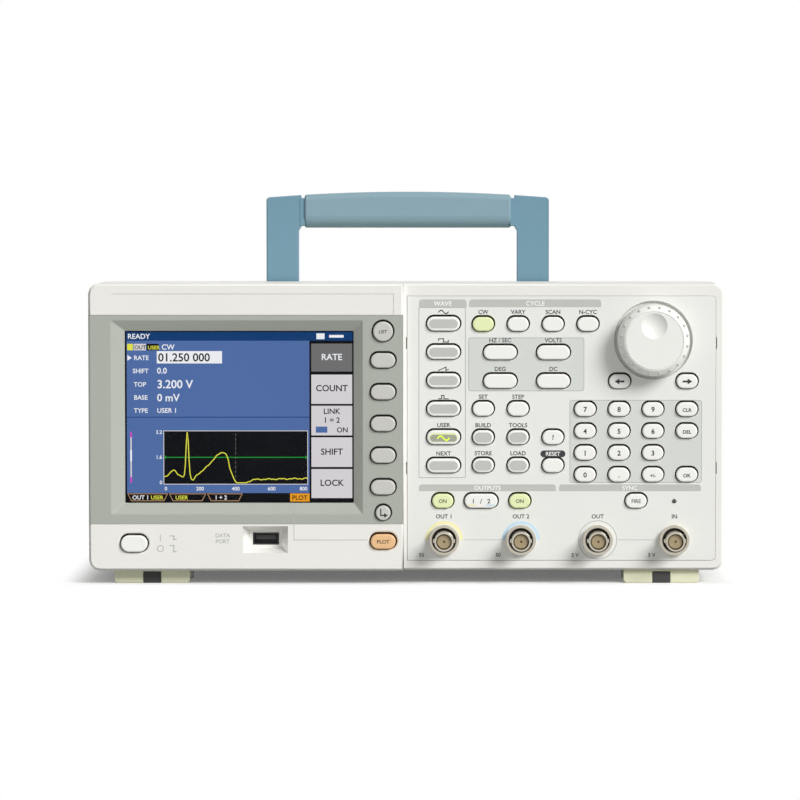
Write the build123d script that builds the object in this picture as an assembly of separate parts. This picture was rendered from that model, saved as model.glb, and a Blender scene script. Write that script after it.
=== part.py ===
from build123d import *
import math
import os

# Bench function generator with a colour display on the left, a keypad, tuning knob and four
# BNC sockets on the right, a folding carrying handle on top and two folding feet under the front.
# Millimetres. X to the right, Y to the back, Z up. The origin is on the bench, under the middle
# of the instrument: the front sockets reach as far forward as the rear bumpers reach back.

# Case
body_width = 329.6
body_height = 149.2
foot_height = 7.1
overall_depth = 168.0
corner_radius = 5.5
corner_flats = 3          # flats round each rounded corner
round_flats = 16          # flats round small turned pieces and their holes
edge_bevel = 1.2
wall = 2.5
seam_y = -30.0            # where the front frame meets the rear case
case_draft = 1.2          # degrees, the rear case tapers to the back
bumper_height = 8.0       # rear bumpers, back of the case
joint_gap = 0.3           # between two bodies that move past each other

# Front: a raised display zone on the left, a lower control panel on the right
bnc_reach = 14.0          # socket tips ahead of the control panel
display_proud = 4.5
panel_thickness = 2.4
ledge_thickness = 2.2
ledge_width = 3.0
surround_ledge = 0.6      # above and below the grey surround, close to its keys
seat_gap = 0.3            # line round each inset panel

# Grey display surround and its screen opening
surround_bottom = 31.3
surround_top = 139.9
screen_side = 18.7        # screen to the left side of the case
screen_key_side = 26.1    # screen to the edge of the display zone
screen_bottom = 42.2
screen_height = 89.4
bevel_left = 7.1
bevel_right = 4.8
bevel_top = 5.5
bevel_bottom = 5.8
bevel_depth = 3.4
screen_rim = 4.0
window_thickness = 1.0

# Control panel inset: it keeps its own width, and the display zone takes the rest of the front
panel_width = 160.4
panel_side = 4.2          # panel to the right side of the case
zone_gap = 1.5            # display zone to the panel
panel_bottom = 12.0
panel_drop = 6.6          # panel below the top of the case
panel_corner = 4.5
slit_length = 6.0
slit_width = 1.0
slit_heights = (60.3, 125.2)

# Header groove above the display
groove_side = 12.3        # groove's end to the left side of the case
groove_key_side = 5.2     # groove's corner to the edge of the display zone
groove_z = 150.4
groove_width = 0.5
groove_depth = 0.4

# Keys: an obround cap, held behind its panel by a flange
key_gap = 0.6             # round a cap, in its hole
key_proud = 1.6
key_bevel = 0.5
key_travel = 1.0
end_flats = 3             # flats round each end of a key
flange_rim = 1.0
flange_thickness = 1.2
flange_gap = 0.2
mat_thickness = 1.6
board_thickness = 1.6
board_lap = 2.0           # front board past the screen's rim
board_low = 10.0          # its main field above the BNC line
board_end = 12.0          # past the power key, and up behind the display zone's edge
board_screen_gap = 8.0    # its lower strip below the screen

soft_key_side = 10.8      # soft keys to the edge of the display zone
soft_size = (12.8, 7.7)
soft_count = 5
soft_top = 116.3
soft_pitch = 16.45
top_menu_z = 131.3
top_menu_size = 10.4
back_z = 37.2
back_size = 7.8
view_z = 22.3
view_size = (13.0, 7.7)
power_side = 23.5         # power key to the left side of the case
power_z = 21.2
power_size = (13.9, 8.65)

# Control panel keys, measured across from the panel's left edge
wide_key = (17.2, 7.4)
small_key = (11.0, 7.4)
function_in = 19.0
function_count = 6
function_top = 135.2
function_pitch = 14.74
column_in = 39.6          # first column of the small keys
column_pitch = 18.1
run_mode_count = 4
run_mode_z = 135.0
parameter_in = 48.4
parameter_count = 4
parameter_pitch = (27.6, 14.9)
parameter_top = 120.3
shortcut_count = 2
shortcut_z = 91.0
menu_top = 76.2
menu_pitch = 14.6
menu_rows = 2
menu_columns = 3
keypad_in = 92.5
keypad_pitch = (17.6, 11.35)
keypad_top = 90.8
keypad_rows = (4, 4, 3, 4)
cursor_in = (110.4, 145.4)
cursor_z = 105.3
channel_in = (18.6, 38.5, 58.6)
channel_z = 43.1
trigger_in = 119.0

# Tuning knob
knob_in = 127.9
knob_z = 126.7
knob_radius = 18.85
knob_face_radius = 14.85
knob_height = 13.2
knob_skirt = 5.0
knob_bevel = 1.0
dimple_radius = 6.7
dimple_offset = 7.7
dimple_depth = 1.4
dish_radius = 20.5
dish_depth = 0.8
shaft_radius = 3.0
shaft_fit = 0.05

# BNC sockets
bnc_in = 19.3
bnc_pitch = 39.9
bnc_count = 4
bnc_z = 22.8
bnc_radius = 4.8
bnc_flange_radius = 7.8
bnc_flange_thickness = 1.5
bnc_collar = 4.0          # plain front stretch of the barrel
bnc_step = 0.2
bnc_bore = 4.05
bnc_bore_depth = 9.0
bnc_lug_size = 1.9
bnc_lug_reach = 0.7
bnc_stub = 4.0
insulator_radius = 2.4
insulator_inset = 1.0
rear_bnc_in = (57.0, 29.0)     # in from the right end of the rear opening
rear_bnc_z = 100.0

# USB host socket in its recess
usb_side = 91.6           # socket to the left side of the case
usb_z = 23.3
usb_recess = (23.4, 14.0)
usb_mouth = (16.5, 9.0)
usb_recess_depth = 7.0
usb_shell = (13.1, 5.8)
usb_shell_wall = 0.4
usb_length = 14.0
usb_tongue = 1.8

# Folding handle
handle_half_width = 74.8
handle_arm_width = 17.0
handle_arm_thickness = 10.0
handle_rise = 45.6        # ends of the grip above the case
handle_y = -14.0
handle_pivot_drop = 9.3   # pivot below the top of the case
handle_pin_radius = 3.0
handle_pin_fit = 0.08
handle_pin_length = 4.6
grip_height = 18.9
grip_thickness = 13.0
grip_arch = 1.6
grip_neck = 2.4
grip_round = 2.4
bar_height = 11.0
bar_thickness = 7.0
pocket_side_gap = 1.2
pocket_floor_gap = 1.0

# Folding feet
foot_inset = 12.5         # foot to the side of the case
foot_width = 39.4
foot_front_y = -66.0
foot_pivot_y = -36.0
foot_clearance = 0.3
lug_width = 5.0
foot_pin_radius = 1.5
foot_pin_fit = 0.08
pad_width = 9.3
pad_depth = 6.0
pad_top_gap = 0.8

# Rear
rear_foot_length = 20.0
rear_foot_y = 56.0
bumper_size = 16.0
bumper_inset = 5.0
rear_side = 33.8          # rear opening to the side of the case
rear_opening_height = 104.0
rear_opening_z = 80.0
sheet = 1.2
vent_count = 6
vent_size = (2.4, 52.0)
vent_pitch = 6.5
vent_y = 0.0

# Fan, inlet, sockets, boards
fan_in = 39.0             # in from the left end of the rear opening
fan_z = 98.0
fan_size = 50.0
fan_depth = 15.0
fan_ring_wall = 1.5
fan_hub_radius = 10.0
fan_blades = 7
fan_blade_gap = 1.2
fan_blade_thickness = 1.2
fan_chord = 9.0
fan_pitch = 50.0
fan_spoke = 2.0
fan_post_radius = 2.0
grille_slots = 7
grille_pitch = 6.4
grille_slot = 3.6
inlet_in = 33.0           # in from the left end of the rear opening
inlet_z = 46.0
inlet_size = (27.4, 20.0)
inlet_flange = 3.0
inlet_depth = 18.0
inlet_recess = 14.0
inlet_blade = (2.0, 4.0)
inlet_blade_x = (-6.0, 0.0, 6.0)
inlet_blade_z = (-2.0, 2.5, -2.0)
shell_wall = 1.0
shell_proud = 1.0         # interface sockets, behind the rear panel
shell_open = 0.7          # open share of their depth
# Interface sockets: in from the right end of the rear opening, height, size, depth
interface_sockets = (
    (111.0, 46.0, (12.0, 11.0), 14.0),
    (85.0, 47.0, (16.0, 13.6), 16.0),
    (37.0, 47.0, (54.0, 12.0), 12.0),
)
supply_size = (74.0, 78.0, 46.0)
stage_size = (44.0, 46.0, 12.0)
stage_pitch = 60.0
flange_height = 30.0      # folded sides of the chassis
main_board_size = (168.0, 104.0)
standoff = 5.0
post_size = 5.0
post_inset = 8.0

# Levels worked out from the sizes above
half_width = body_width / 2
panel_right = half_width - panel_side
panel_left = panel_right - panel_width
zone_edge_x = panel_left - zone_gap
body_bottom = foot_height
body_top = foot_height + body_height
panel_top = body_top - panel_drop
front_tip = -overall_depth / 2
rear_tip = overall_depth / 2
panel_y = front_tip + bnc_reach
display_y = panel_y - display_proud
front_wall = panel_thickness + ledge_thickness
panel_back = panel_y + panel_thickness
surround_back = display_y + panel_thickness
case_back = rear_tip - bumper_height
key_back = panel_back + flange_gap + flange_thickness
mat_y = key_back + key_travel + joint_gap
board_y = mat_y + mat_thickness
board_back = board_y + board_thickness
chassis_y = board_back + standoff / 2
rear_panel_y = rear_tip - bnc_reach - bnc_step
case_drop = math.tan(math.radians(case_draft)) * (case_back - seam_y)
chassis_floor = body_bottom + wall + case_drop
chassis_inset = wall + case_drop + seat_gap
screen_left = screen_side - half_width
screen_right = zone_edge_x - screen_key_side
screen_top = screen_bottom + screen_height
window_y = display_y + bevel_depth
lcd_y = window_y + window_thickness
pivot_z = body_top - handle_pivot_drop
handle_top = body_top + handle_rise
groove_left = groove_side - half_width
groove_right = zone_edge_x - groove_key_side
soft_x = zone_edge_x - soft_key_side
power_x = power_side - half_width
usb_x = usb_side - half_width
function_x = panel_left + function_in
column_x = panel_left + column_in
parameter_x = panel_left + parameter_in
keypad_x = panel_left + keypad_in
cursor_x = [panel_left + x for x in cursor_in]
channel_x = [panel_left + x for x in channel_in]
trigger_x = panel_left + trigger_in
knob_x = panel_left + knob_in
bnc_x = panel_left + bnc_in
foot_inner_x = half_width - foot_inset - foot_width
rear_opening = (body_width - 2 * rear_side, rear_opening_height)
rear_bnc_x = [rear_opening[0] / 2 - x for x in rear_bnc_in]
fan_x = fan_in - rear_opening[0] / 2
inlet_x = inlet_in - rear_opening[0] / 2


def box_of(x0, x1, y0, y1, z0, z1):
    """A box between two corners."""
    return Pos((x0 + x1) / 2, (y0 + y1) / 2, (z0 + z1) / 2) * Box(x1 - x0, y1 - y0, z1 - z0)


def slab(face, y_front, y_back):
    """A face drawn in X and Z, made solid from y_front back to y_back."""
    plane = Plane(origin=(0, y_back, 0), x_dir=(1, 0, 0), z_dir=(0, -1, 0))
    return extrude(plane * face, y_back - y_front)


def rect(x0, x1, z0, z1, radius=0.0):
    """A rectangle in X and Z between two corners, its own corners rounded with a few flats."""
    if not radius:
        return Pos((x0 + x1) / 2, (z0 + z1) / 2) * Rectangle(x1 - x0, z1 - z0)
    centres = [(x1 - radius, z1 - radius), (x0 + radius, z1 - radius), (x0 + radius, z0 + radius),
               (x1 - radius, z0 + radius)]
    points = []
    for corner, (x, z) in enumerate(centres):
        turns = [math.pi / 2 * (corner + i / corner_flats) for i in range(corner_flats + 1)]
        points += [(x + radius * math.cos(a), z + radius * math.sin(a)) for a in turns]
    return Polygon(*points, align=None)


def rect_at(x, z, size, radius=0.0):
    """A rectangle in X and Z round its centre."""
    return rect(x - size[0] / 2, x + size[0] / 2, z - size[1] / 2, z + size[1] / 2, radius)


def disc(x, z, radius):
    """A circle in X and Z."""
    return Pos(x, z) * Circle(radius)


def turned(x, z, radius):
    """A small turned section, with flats whose corners are on its radius."""
    return Pos(x, z) * RegularPolygon(radius, round_flats)


def turned_hole(x, z, radius):
    """The hole that just takes a turned section of that radius."""
    return Pos(x, z) * RegularPolygon(radius, round_flats, major_radius=False)


def across(radius, width):
    """A turned length along X, round the origin."""
    return Rot(0, 90, 0) * extrude(RegularPolygon(radius, round_flats), width / 2, both=True)


def pill(x, z, size, margin=0.0):
    """An obround in X and Z whose round ends have a few flats, as the keys and their holes do."""
    radius = size[1] / 2 + margin
    reach = (size[0] - size[1]) / 2
    turns = [math.pi * (i / end_flats - 0.5) for i in range(end_flats + 1)]
    right = [(reach + radius * math.cos(a), radius * math.sin(a)) for a in turns]
    left = [(-px, -pz) for px, pz in right]
    outline = right + (left if reach > 0 else left[1:-1])
    return Pos(x, z) * Polygon(*outline, align=None)


def funnel(front_face, back_face, y_front, y_back):
    """A straight-sided opening that narrows from one face to another."""
    fronts = Plane(origin=(0, y_front, 0), x_dir=(1, 0, 0), z_dir=(0, -1, 0)) * front_face
    backs = Plane(origin=(0, y_back, 0), x_dir=(1, 0, 0), z_dir=(0, -1, 0)) * back_face
    return loft([fronts.face(), backs.face()], ruled=True)


def grow(size, by):
    """A width and height, larger by the same margin on every side."""
    return (size[0] + 2 * by, size[1] + 2 * by)


# Where every key stands: name, x, z, size

def display_keys():
    """Keys in the grey surround, beside the screen."""
    keys = [("top_menu_button", soft_x, top_menu_z, (top_menu_size, top_menu_size))]
    for i in range(soft_count):
        keys.append((f"soft_key_{i + 1}", soft_x, soft_top - i * soft_pitch, soft_size))
    keys.append(("back_button", soft_x, back_z, (back_size, back_size)))
    return keys


def strip_keys():
    """Keys in the lower strip of the front frame."""
    return [("power_button", power_x, power_z, power_size), ("view_button", soft_x, view_z, view_size)]


def panel_keys():
    """Keys in the control panel that each have a node of their own."""
    keys = []
    for i in range(function_count):
        keys.append((f"function_key_{i + 1}", function_x, function_top - i * function_pitch, wide_key))
    for i in range(run_mode_count):
        keys.append((f"run_mode_key_{i + 1}", column_x + i * column_pitch, run_mode_z, small_key))
    for i in range(parameter_count):
        x = parameter_x + (i % 2) * parameter_pitch[0]
        z = parameter_top - (i // 2) * parameter_pitch[1]
        keys.append((f"parameter_key_{i + 1}", x, z, wide_key))
    for i in range(shortcut_count):
        keys.append((f"shortcut_key_{i + 1}", column_x + i * column_pitch, shortcut_z, small_key))
    for side, x in zip(("left", "right"), cursor_x):
        keys.append((f"cursor_key_{side}", x, cursor_z, small_key))
    keys.append(("channel_key_1", channel_x[0], channel_z, small_key))
    keys.append(("channel_select", channel_x[1], channel_z, wide_key))
    keys.append(("channel_key_2", channel_x[2], channel_z, small_key))
    keys.append(("manual_trigger", trigger_x, channel_z, small_key))
    return keys


def menu_places():
    """Two rows of three menu keys."""
    return [(column_x + i * column_pitch, menu_top - j * menu_pitch)
            for j in range(menu_rows) for i in range(menu_columns)]


def keypad_places():
    """Four rows of number and entry keys, the third one key short."""
    places = []
    for row, count in enumerate(keypad_rows):
        places += [(keypad_x + i * keypad_pitch[0], keypad_top - row * keypad_pitch[1]) for i in range(count)]
    return places


def joined_keys():
    """The menu keys and the keypad, which share a node each."""
    return [(x, z, small_key) for x, z in menu_places() + keypad_places()]


def key_cap(x, z, size, face_y, back_y):
    """One key: bevelled cap through the panel, flange behind it, and a plunger down to the mat."""
    cap = slab(pill(x, z, size), face_y - key_proud, back_y + flange_gap)
    cap = chamfer(cap.faces().sort_by(Axis.Y)[0].edges(), key_bevel)
    flange_y = back_y + flange_gap
    key = cap + slab(rect_at(x, z, grow(size, flange_rim)), flange_y, flange_y + flange_thickness)
    if key_back - flange_y - flange_thickness > flange_gap:
        key += slab(rect_at(x, z, (size[1] / 2, size[1] / 2)), flange_y + flange_thickness, key_back)
    return key


def bnc_places():
    """The four sockets along the bottom of the control panel."""
    return [bnc_x + i * bnc_pitch for i in range(bnc_count)]


def body_outline(inset=0.0):
    """The rounded front outline of the case, or the same outline inside its wall."""
    return rect(
        -half_width + inset, half_width - inset, body_bottom + inset, body_top - inset,
        max(corner_radius - inset, 0.5),
    )


def foot_places():
    """The left and right ends of each front foot."""
    return {"left": -foot_inner_x - foot_width, "right": foot_inner_x}


def foot_lugs():
    """Two lugs per folding foot, hung from the frame, with the pin bores through them."""
    radius = (foot_height - foot_clearance) / 2
    lugs = []
    for x in foot_places().values():
        for side in (x, x + foot_width - lug_width):
            lug = Pos(side + lug_width / 2, foot_pivot_y, radius) * across(radius, lug_width)
            lug += box_of(side, side + lug_width, foot_pivot_y - radius, foot_pivot_y + radius,
                          radius, body_bottom + wall / 2)
            bore = Cylinder(foot_pin_radius + foot_pin_fit, 2 * lug_width)
            lugs.append(lug - Pos(side + lug_width / 2, foot_pivot_y, radius) * Rot(0, 90, 0) * bore)
    return lugs


def eased_front(solid):
    """The same solid with its foremost edges bevelled."""
    return chamfer(solid.faces().sort_by(Axis.Y)[0].edges(), edge_bevel)


def surround_face(gap=0.0):
    """The face of the grey surround, which runs out to the left side of the case."""
    return rect(-half_width, zone_edge_x - wall / 6 - gap, surround_bottom + gap, surround_top - gap)


def panel_face(gap=0.0):
    """The control panel: square on the left, rounded on the right."""
    left, right = panel_left + gap, panel_right - gap
    low, high = panel_bottom + gap, panel_top - gap
    middle = (left + right) / 2
    return rect(left, middle, low, high) + rect(left, right, low, high, panel_corner)


def front_frame():
    """Front frame: rounded shell, raised display zone, pockets and windows for the two insets."""
    zone = body_outline() & rect(-half_width, zone_edge_x, body_bottom, body_top)
    frame = eased_front(slab(body_outline(), panel_y, seam_y))
    frame += eased_front(slab(zone, display_y, panel_y + edge_bevel))
    frame -= slab(body_outline(wall), panel_y + front_wall, seam_y)
    left_cavity = body_outline(wall) & rect(-half_width, zone_edge_x - wall, body_bottom, body_top)
    frame -= slab(left_cavity, display_y + front_wall, panel_y + front_wall)
    frame -= slab(surround_face(), display_y, surround_back)
    frame -= slab(rect(-half_width + wall + ledge_width, zone_edge_x - wall, surround_bottom + surround_ledge,
                       surround_top - surround_ledge), surround_back, display_y + front_wall)
    frame -= slab(panel_face(), panel_y, panel_back)
    frame -= slab(rect(panel_left + ledge_width, panel_right - ledge_width, panel_bottom + ledge_width,
                       panel_top - ledge_width, panel_corner), panel_back, panel_y + front_wall)
    for z in slit_heights:
        for x in (panel_left, panel_right):
            frame -= slab(rect_at(x, z, (slit_width, slit_length)), panel_y, panel_back)
    groove = rect(groove_left, groove_right, groove_z, groove_z + groove_width)
    groove += rect(groove_right - groove_width, groove_right, surround_top + seat_gap, groove_z)
    frame -= slab(groove, display_y, display_y + groove_depth)
    recess_back = display_y + usb_recess_depth
    boss = slab(rect_at(usb_x, usb_z, grow(usb_mouth, wall)), display_y + front_wall, recess_back + wall / 2)
    frame += boss
    frame -= funnel(rect_at(usb_x, usb_z, usb_recess), rect_at(usb_x, usb_z, usb_mouth), display_y, recess_back)
    frame -= slab(rect_at(usb_x, usb_z, grow(usb_shell, seat_gap)), recess_back, recess_back + wall)
    for _, x, z, size in strip_keys():
        frame -= slab(pill(x, z, size, key_gap), display_y, display_y + front_wall)
    for lug in foot_lugs():
        frame += lug
    return frame


def display_surround():
    """Grey surround: a plate with a bevelled screen opening and a hole for each key beside it."""
    plate = slab(surround_face(seat_gap / 2) & body_outline(), display_y, surround_back)
    screen = rect(screen_left, screen_right, screen_bottom, screen_top)
    rim = rect(screen_left - screen_rim, screen_right + screen_rim, screen_bottom - screen_rim,
               screen_top + screen_rim)
    plate += slab(rim, surround_back, lcd_y)
    bevel = rect(screen_left - bevel_left, screen_right + bevel_right, screen_bottom - bevel_bottom,
                 screen_top + bevel_top)
    plate -= funnel(bevel, screen, display_y, window_y)
    pocket = rect(screen_left - screen_rim / 2, screen_right + screen_rim / 2, screen_bottom - screen_rim / 2,
                  screen_top + screen_rim / 2)
    plate -= slab(pocket, window_y, lcd_y)
    for _, x, z, size in display_keys():
        plate -= slab(pill(x, z, size, key_gap), display_y, surround_back)
    return plate


def display_window():
    """Clear window in the pocket behind the bevel."""
    edge = screen_rim / 2
    face = rect(screen_left - edge, screen_right + edge, screen_bottom - edge, screen_top + edge)
    return slab(face, window_y, lcd_y)


def lcd_module():
    """Display module, held between the surround and the chassis."""
    face = rect(screen_left - screen_rim, screen_right + screen_rim, screen_bottom - screen_rim,
                screen_top + screen_rim)
    return slab(face, lcd_y, chassis_y)


def control_panel():
    """Control panel: a hole for each key and socket, and the shallow dish round the knob."""
    panel = slab(panel_face(seat_gap / 2), panel_y, panel_back)
    for _, x, z, size in panel_keys():
        panel -= slab(pill(x, z, size, key_gap), panel_y, panel_back)
    for x, z, size in joined_keys():
        panel -= slab(pill(x, z, size, key_gap), panel_y, panel_back)
    for x in bnc_places():
        panel -= slab(turned_hole(x, bnc_z, bnc_radius), panel_y, panel_back)
    panel -= slab(disc(knob_x, knob_z, dish_radius), panel_y, panel_y + dish_depth)
    panel -= slab(turned_hole(knob_x, knob_z, 2 * shaft_radius), panel_y, panel_back)
    return panel


def board_outline():
    """The key mat and front board: a main field behind the panel, and a strip under the display."""
    main = rect(screen_right + screen_rim + board_lap, panel_right - ledge_width, bnc_z + board_low,
                panel_top - ledge_width)
    strip = rect(power_x - board_end, screen_right + screen_rim + board_lap, body_bottom + 2 * wall,
                 screen_bottom - board_screen_gap)
    corner = rect(screen_right + screen_rim, zone_edge_x - wall, body_bottom + 2 * wall, bnc_z + board_end)
    return main + strip + corner


def behind_panel(y_front, y_back):
    """One layer behind the keys, open at the USB socket and the encoder."""
    layer = slab(board_outline(), y_front, y_back)
    layer -= slab(rect_at(usb_x, usb_z, grow(usb_shell, seat_gap)), y_front, y_back)
    return layer - slab(turned_hole(knob_x, knob_z, 2 * shaft_radius), y_front, y_back)


def key_mat():
    """Silicone mat that the keys press on."""
    return behind_panel(mat_y, board_y)


def front_board():
    """Front circuit board, and the encoder's body and bush on it."""
    board = behind_panel(board_y, board_back)
    bush = slab(turned(knob_x, knob_z, 2 * shaft_radius) - disc(knob_x, knob_z, shaft_radius + shaft_fit),
                panel_back, board_back)
    base = slab(rect_at(knob_x, knob_z, (4 * shaft_radius, 4 * shaft_radius)), board_back, chassis_y)
    return Compound(children=[board + bush + base])


def tuning_knob():
    """Tuning knob: skirt, coned front with a finger dimple, and its encoder shaft."""
    back = panel_y + dish_depth - joint_gap
    front = panel_y - knob_height
    profile = Polyline(
        (0, back), (knob_radius, back), (knob_radius, back - knob_skirt),
        (knob_face_radius + knob_bevel, front + knob_bevel), (knob_face_radius, front), (0, front), close=True,
    )
    knob = revolve(Plane.XY * make_face(profile), Axis.Y)
    knob -= funnel(turned(0, dimple_offset, dimple_radius), turned(0, dimple_offset, dimple_radius / 2),
                   front, front + dimple_depth)
    shaft_front, shaft_end = back - knob_height / 2, board_back - joint_gap
    knob -= slab(disc(0, 0, shaft_radius), shaft_front, back)
    shaft = slab(disc(0, 0, shaft_radius), shaft_front, shaft_end)
    place = Pos(knob_x, 0, knob_z)
    return Compound(children=[place * knob, place * shaft])


def bnc():
    """One BNC socket along -Y, its panel face at y = 0: flange, barrel with two lugs, and stub."""
    neck = bnc_radius - bnc_step
    step_y = bnc_collar - bnc_reach
    socket = slab(disc(0, 0, bnc_radius), -bnc_reach, step_y)
    socket += slab(turned(0, 0, neck), step_y, -bnc_flange_thickness)
    socket += slab(turned(0, 0, bnc_flange_radius), -bnc_flange_thickness, 0)
    socket += slab(turned(0, 0, bnc_radius), 0, panel_thickness + bnc_stub)
    socket -= slab(turned(0, 0, bnc_bore), -bnc_reach, bnc_bore_depth - bnc_reach)
    inside, tip = (bnc_bore + neck) / 2, bnc_radius + bnc_lug_reach
    for side in (-1, 1):
        lug = Box(tip - inside, bnc_lug_size, bnc_lug_size)
        socket += Pos(side * (inside + tip) / 2, step_y + 2 * bnc_lug_size, 0) * lug
    return socket


def insulator():
    """The insulator that stands in the bore of a socket."""
    return slab(turned(0, 0, insulator_radius), insulator_inset - bnc_reach, bnc_bore_depth - bnc_reach)


def bnc_sites():
    """Where each socket stands, in the control panel and in the rear panel."""
    front = [Pos(x, panel_y, bnc_z) for x in bnc_places()]
    rear = [Pos(x, rear_panel_y, rear_bnc_z) * Rot(0, 0, 180) for x in rear_bnc_x]
    return front, rear


def bnc_connectors():
    """Every socket, each with a plain collar ahead of its lugs."""
    front, rear = bnc_sites()
    return Compound(children=[place * bnc() for place in front + rear])


def bnc_insulators():
    """The insulator of every socket."""
    front, rear = bnc_sites()
    return Compound(children=[place * insulator() for place in front + rear])


def case_solid(inset):
    """The tapered outer form of the rear case, or its cavity inside the wall."""
    back = case_back - inset
    plane = Plane(origin=(0, seam_y, 0), x_dir=(1, 0, 0), z_dir=(0, 1, 0))
    mirrored = rect(-half_width + inset, half_width - inset, -body_top + inset, -body_bottom - inset,
                    max(corner_radius - inset, 0.5))
    return extrude(plane * mirrored, back - seam_y, taper=case_draft)


def handle_pocket(margin=0.0):
    """The space in the top of the case that the handle folds down into."""
    half = handle_half_width + pocket_side_gap + margin
    swing = handle_top + grip_arch - pivot_z
    floor = pivot_z - grip_thickness / 2 - pocket_floor_gap - margin
    front = handle_y - grip_thickness / 2 - pocket_floor_gap - margin
    return box_of(-half, half, front, handle_y + swing + pocket_side_gap + margin, floor, body_top + wall)


def rear_case():
    """Rear case: tapered shell, handle pocket in its top, vents, and the collar round the rear panel."""
    outer = case_solid(0)
    case = outer - case_solid(wall)
    case += handle_pocket(wall) & outer
    case -= handle_pocket()
    width, height = rear_opening
    opening = rect_at(0, rear_opening_z, (width, height))
    collar = rect_at(0, rear_opening_z, grow((width, height), wall))
    case += slab(collar, rear_panel_y, case_back - wall)
    case -= slab(opening, rear_panel_y, case_back)
    for side in (-1, 1):
        for i in range(vent_count):
            y = vent_y + i * vent_pitch
            case -= Pos(side * half_width, y, body_bottom + body_height / 2) * Box(6 * wall, *vent_size)
    pin_bore = Cylinder(handle_pin_radius + handle_pin_fit, body_width / 2 + 2 * handle_pin_length)
    case -= Pos(0, handle_y, pivot_z) * Rot(0, 90, 0) * pin_bore
    return case


def rear_panel():
    """Sheet-metal rear panel: fan grille, and cut-outs for the inlet and the sockets."""
    panel = slab(rect_at(0, rear_opening_z, grow(rear_opening, wall)), rear_panel_y - sheet, rear_panel_y)
    for i in range(grille_slots):
        z = fan_z + (i - (grille_slots - 1) / 2) * grille_pitch
        half = math.sqrt((fan_size / 2 - fan_ring_wall) ** 2 - (z - fan_z) ** 2)
        panel -= slab(rect_at(fan_x, z, (2 * half - grille_slot, grille_slot)), rear_panel_y - sheet, rear_panel_y)
    panel -= slab(rect_at(inlet_x, inlet_z, inlet_size), rear_panel_y - sheet, rear_panel_y)
    for x in rear_bnc_x:
        panel -= slab(turned_hole(x, rear_bnc_z, bnc_radius), rear_panel_y - sheet, rear_panel_y)
    for x, z, size, _ in rear_sockets():
        panel -= slab(rect_at(x, z, size), rear_panel_y - sheet, rear_panel_y)
    return panel


def rear_sockets():
    """Rear interface sockets: x, z, outer size, depth behind the panel."""
    return [(rear_opening[0] / 2 - inset, z, size, depth) for inset, z, size, depth in interface_sockets]


def io_sockets():
    """The front USB socket and the rear interface sockets, each an open metal shell."""
    mouth_y = display_y + usb_recess_depth
    back_y = mouth_y + usb_length
    usb = slab(rect_at(usb_x, usb_z, usb_shell), mouth_y, back_y)
    usb -= slab(rect_at(usb_x, usb_z, grow(usb_shell, -usb_shell_wall)), mouth_y, back_y - usb_shell_wall)
    tongue = rect_at(usb_x, usb_z + usb_tongue / 2, (usb_shell[0] - 2 * usb_tongue, usb_tongue))
    shells = [usb + slab(tongue, mouth_y + shell_wall, back_y)]
    front = rear_panel_y + shell_proud
    for x, z, size, depth in rear_sockets():
        shell = slab(rect_at(x, z, size), rear_panel_y - depth, front)
        mouth = rect_at(x, z, grow(size, -shell_wall))
        shells.append(shell - slab(mouth, front - depth * shell_open, front))
    return Compound(children=shells)


def power_inlet():
    """Mains inlet: flange on the rear panel, body behind it, open socket with three blades."""
    face = rear_panel_y + 2 * shell_proud
    back = rear_panel_y - inlet_depth
    inlet = slab(rect_at(inlet_x, inlet_z, grow(inlet_size, inlet_flange), inlet_flange), rear_panel_y, face)
    inlet += slab(rect_at(inlet_x, inlet_z, inlet_size), back, rear_panel_y)
    inlet -= slab(rect_at(inlet_x, inlet_z, grow(inlet_size, -2 * shell_wall)), face - inlet_recess, face)
    for x, z in zip(inlet_blade_x, inlet_blade_z):
        inlet += slab(rect_at(inlet_x + x, inlet_z + z, inlet_blade), back, rear_panel_y - shell_proud)
    return inlet


def cooling_fan():
    """Fan frame behind the grille, with its bearing post carried on the panel side."""
    back = rear_panel_y - sheet
    ring = fan_size / 2 - fan_ring_wall
    outline = rect_at(fan_x, fan_z, (fan_size, fan_size))
    frame = slab(outline - turned_hole(fan_x, fan_z, ring), back - fan_depth, back)
    long = fan_size - fan_ring_wall
    spokes = rect_at(fan_x, fan_z, (long, fan_spoke)) + rect_at(fan_x, fan_z, (fan_spoke, long))
    frame += slab(spokes, back - fan_depth, back - fan_depth + fan_spoke)
    return frame + slab(disc(fan_x, fan_z, fan_post_radius), back - fan_depth, back - 2 * fan_spoke - joint_gap)


def fan_rotor():
    """Fan rotor: hub on the bearing post, and seven pitched blades."""
    back = rear_panel_y - sheet
    front_y, back_y = back - fan_depth + fan_spoke + joint_gap, back - fan_spoke
    rotor = slab(turned(0, 0, fan_hub_radius), front_y, back_y)
    reach = fan_size / 2 - fan_ring_wall - fan_blade_gap
    for i in range(fan_blades):
        blade = Pos((fan_hub_radius + reach - fan_blade_thickness) / 2, (front_y + back_y) / 2, 0)
        blade *= Rot(fan_pitch, 0, 0) * Box(reach - fan_hub_radius, fan_chord, fan_blade_thickness)
        rotor += Rot(0, i * 360 / fan_blades, 0) * blade
    rotor -= slab(disc(0, 0, fan_post_radius + shaft_fit), front_y, back_y - fan_spoke)
    return Pos(fan_x, 0, fan_z) * rotor


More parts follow.
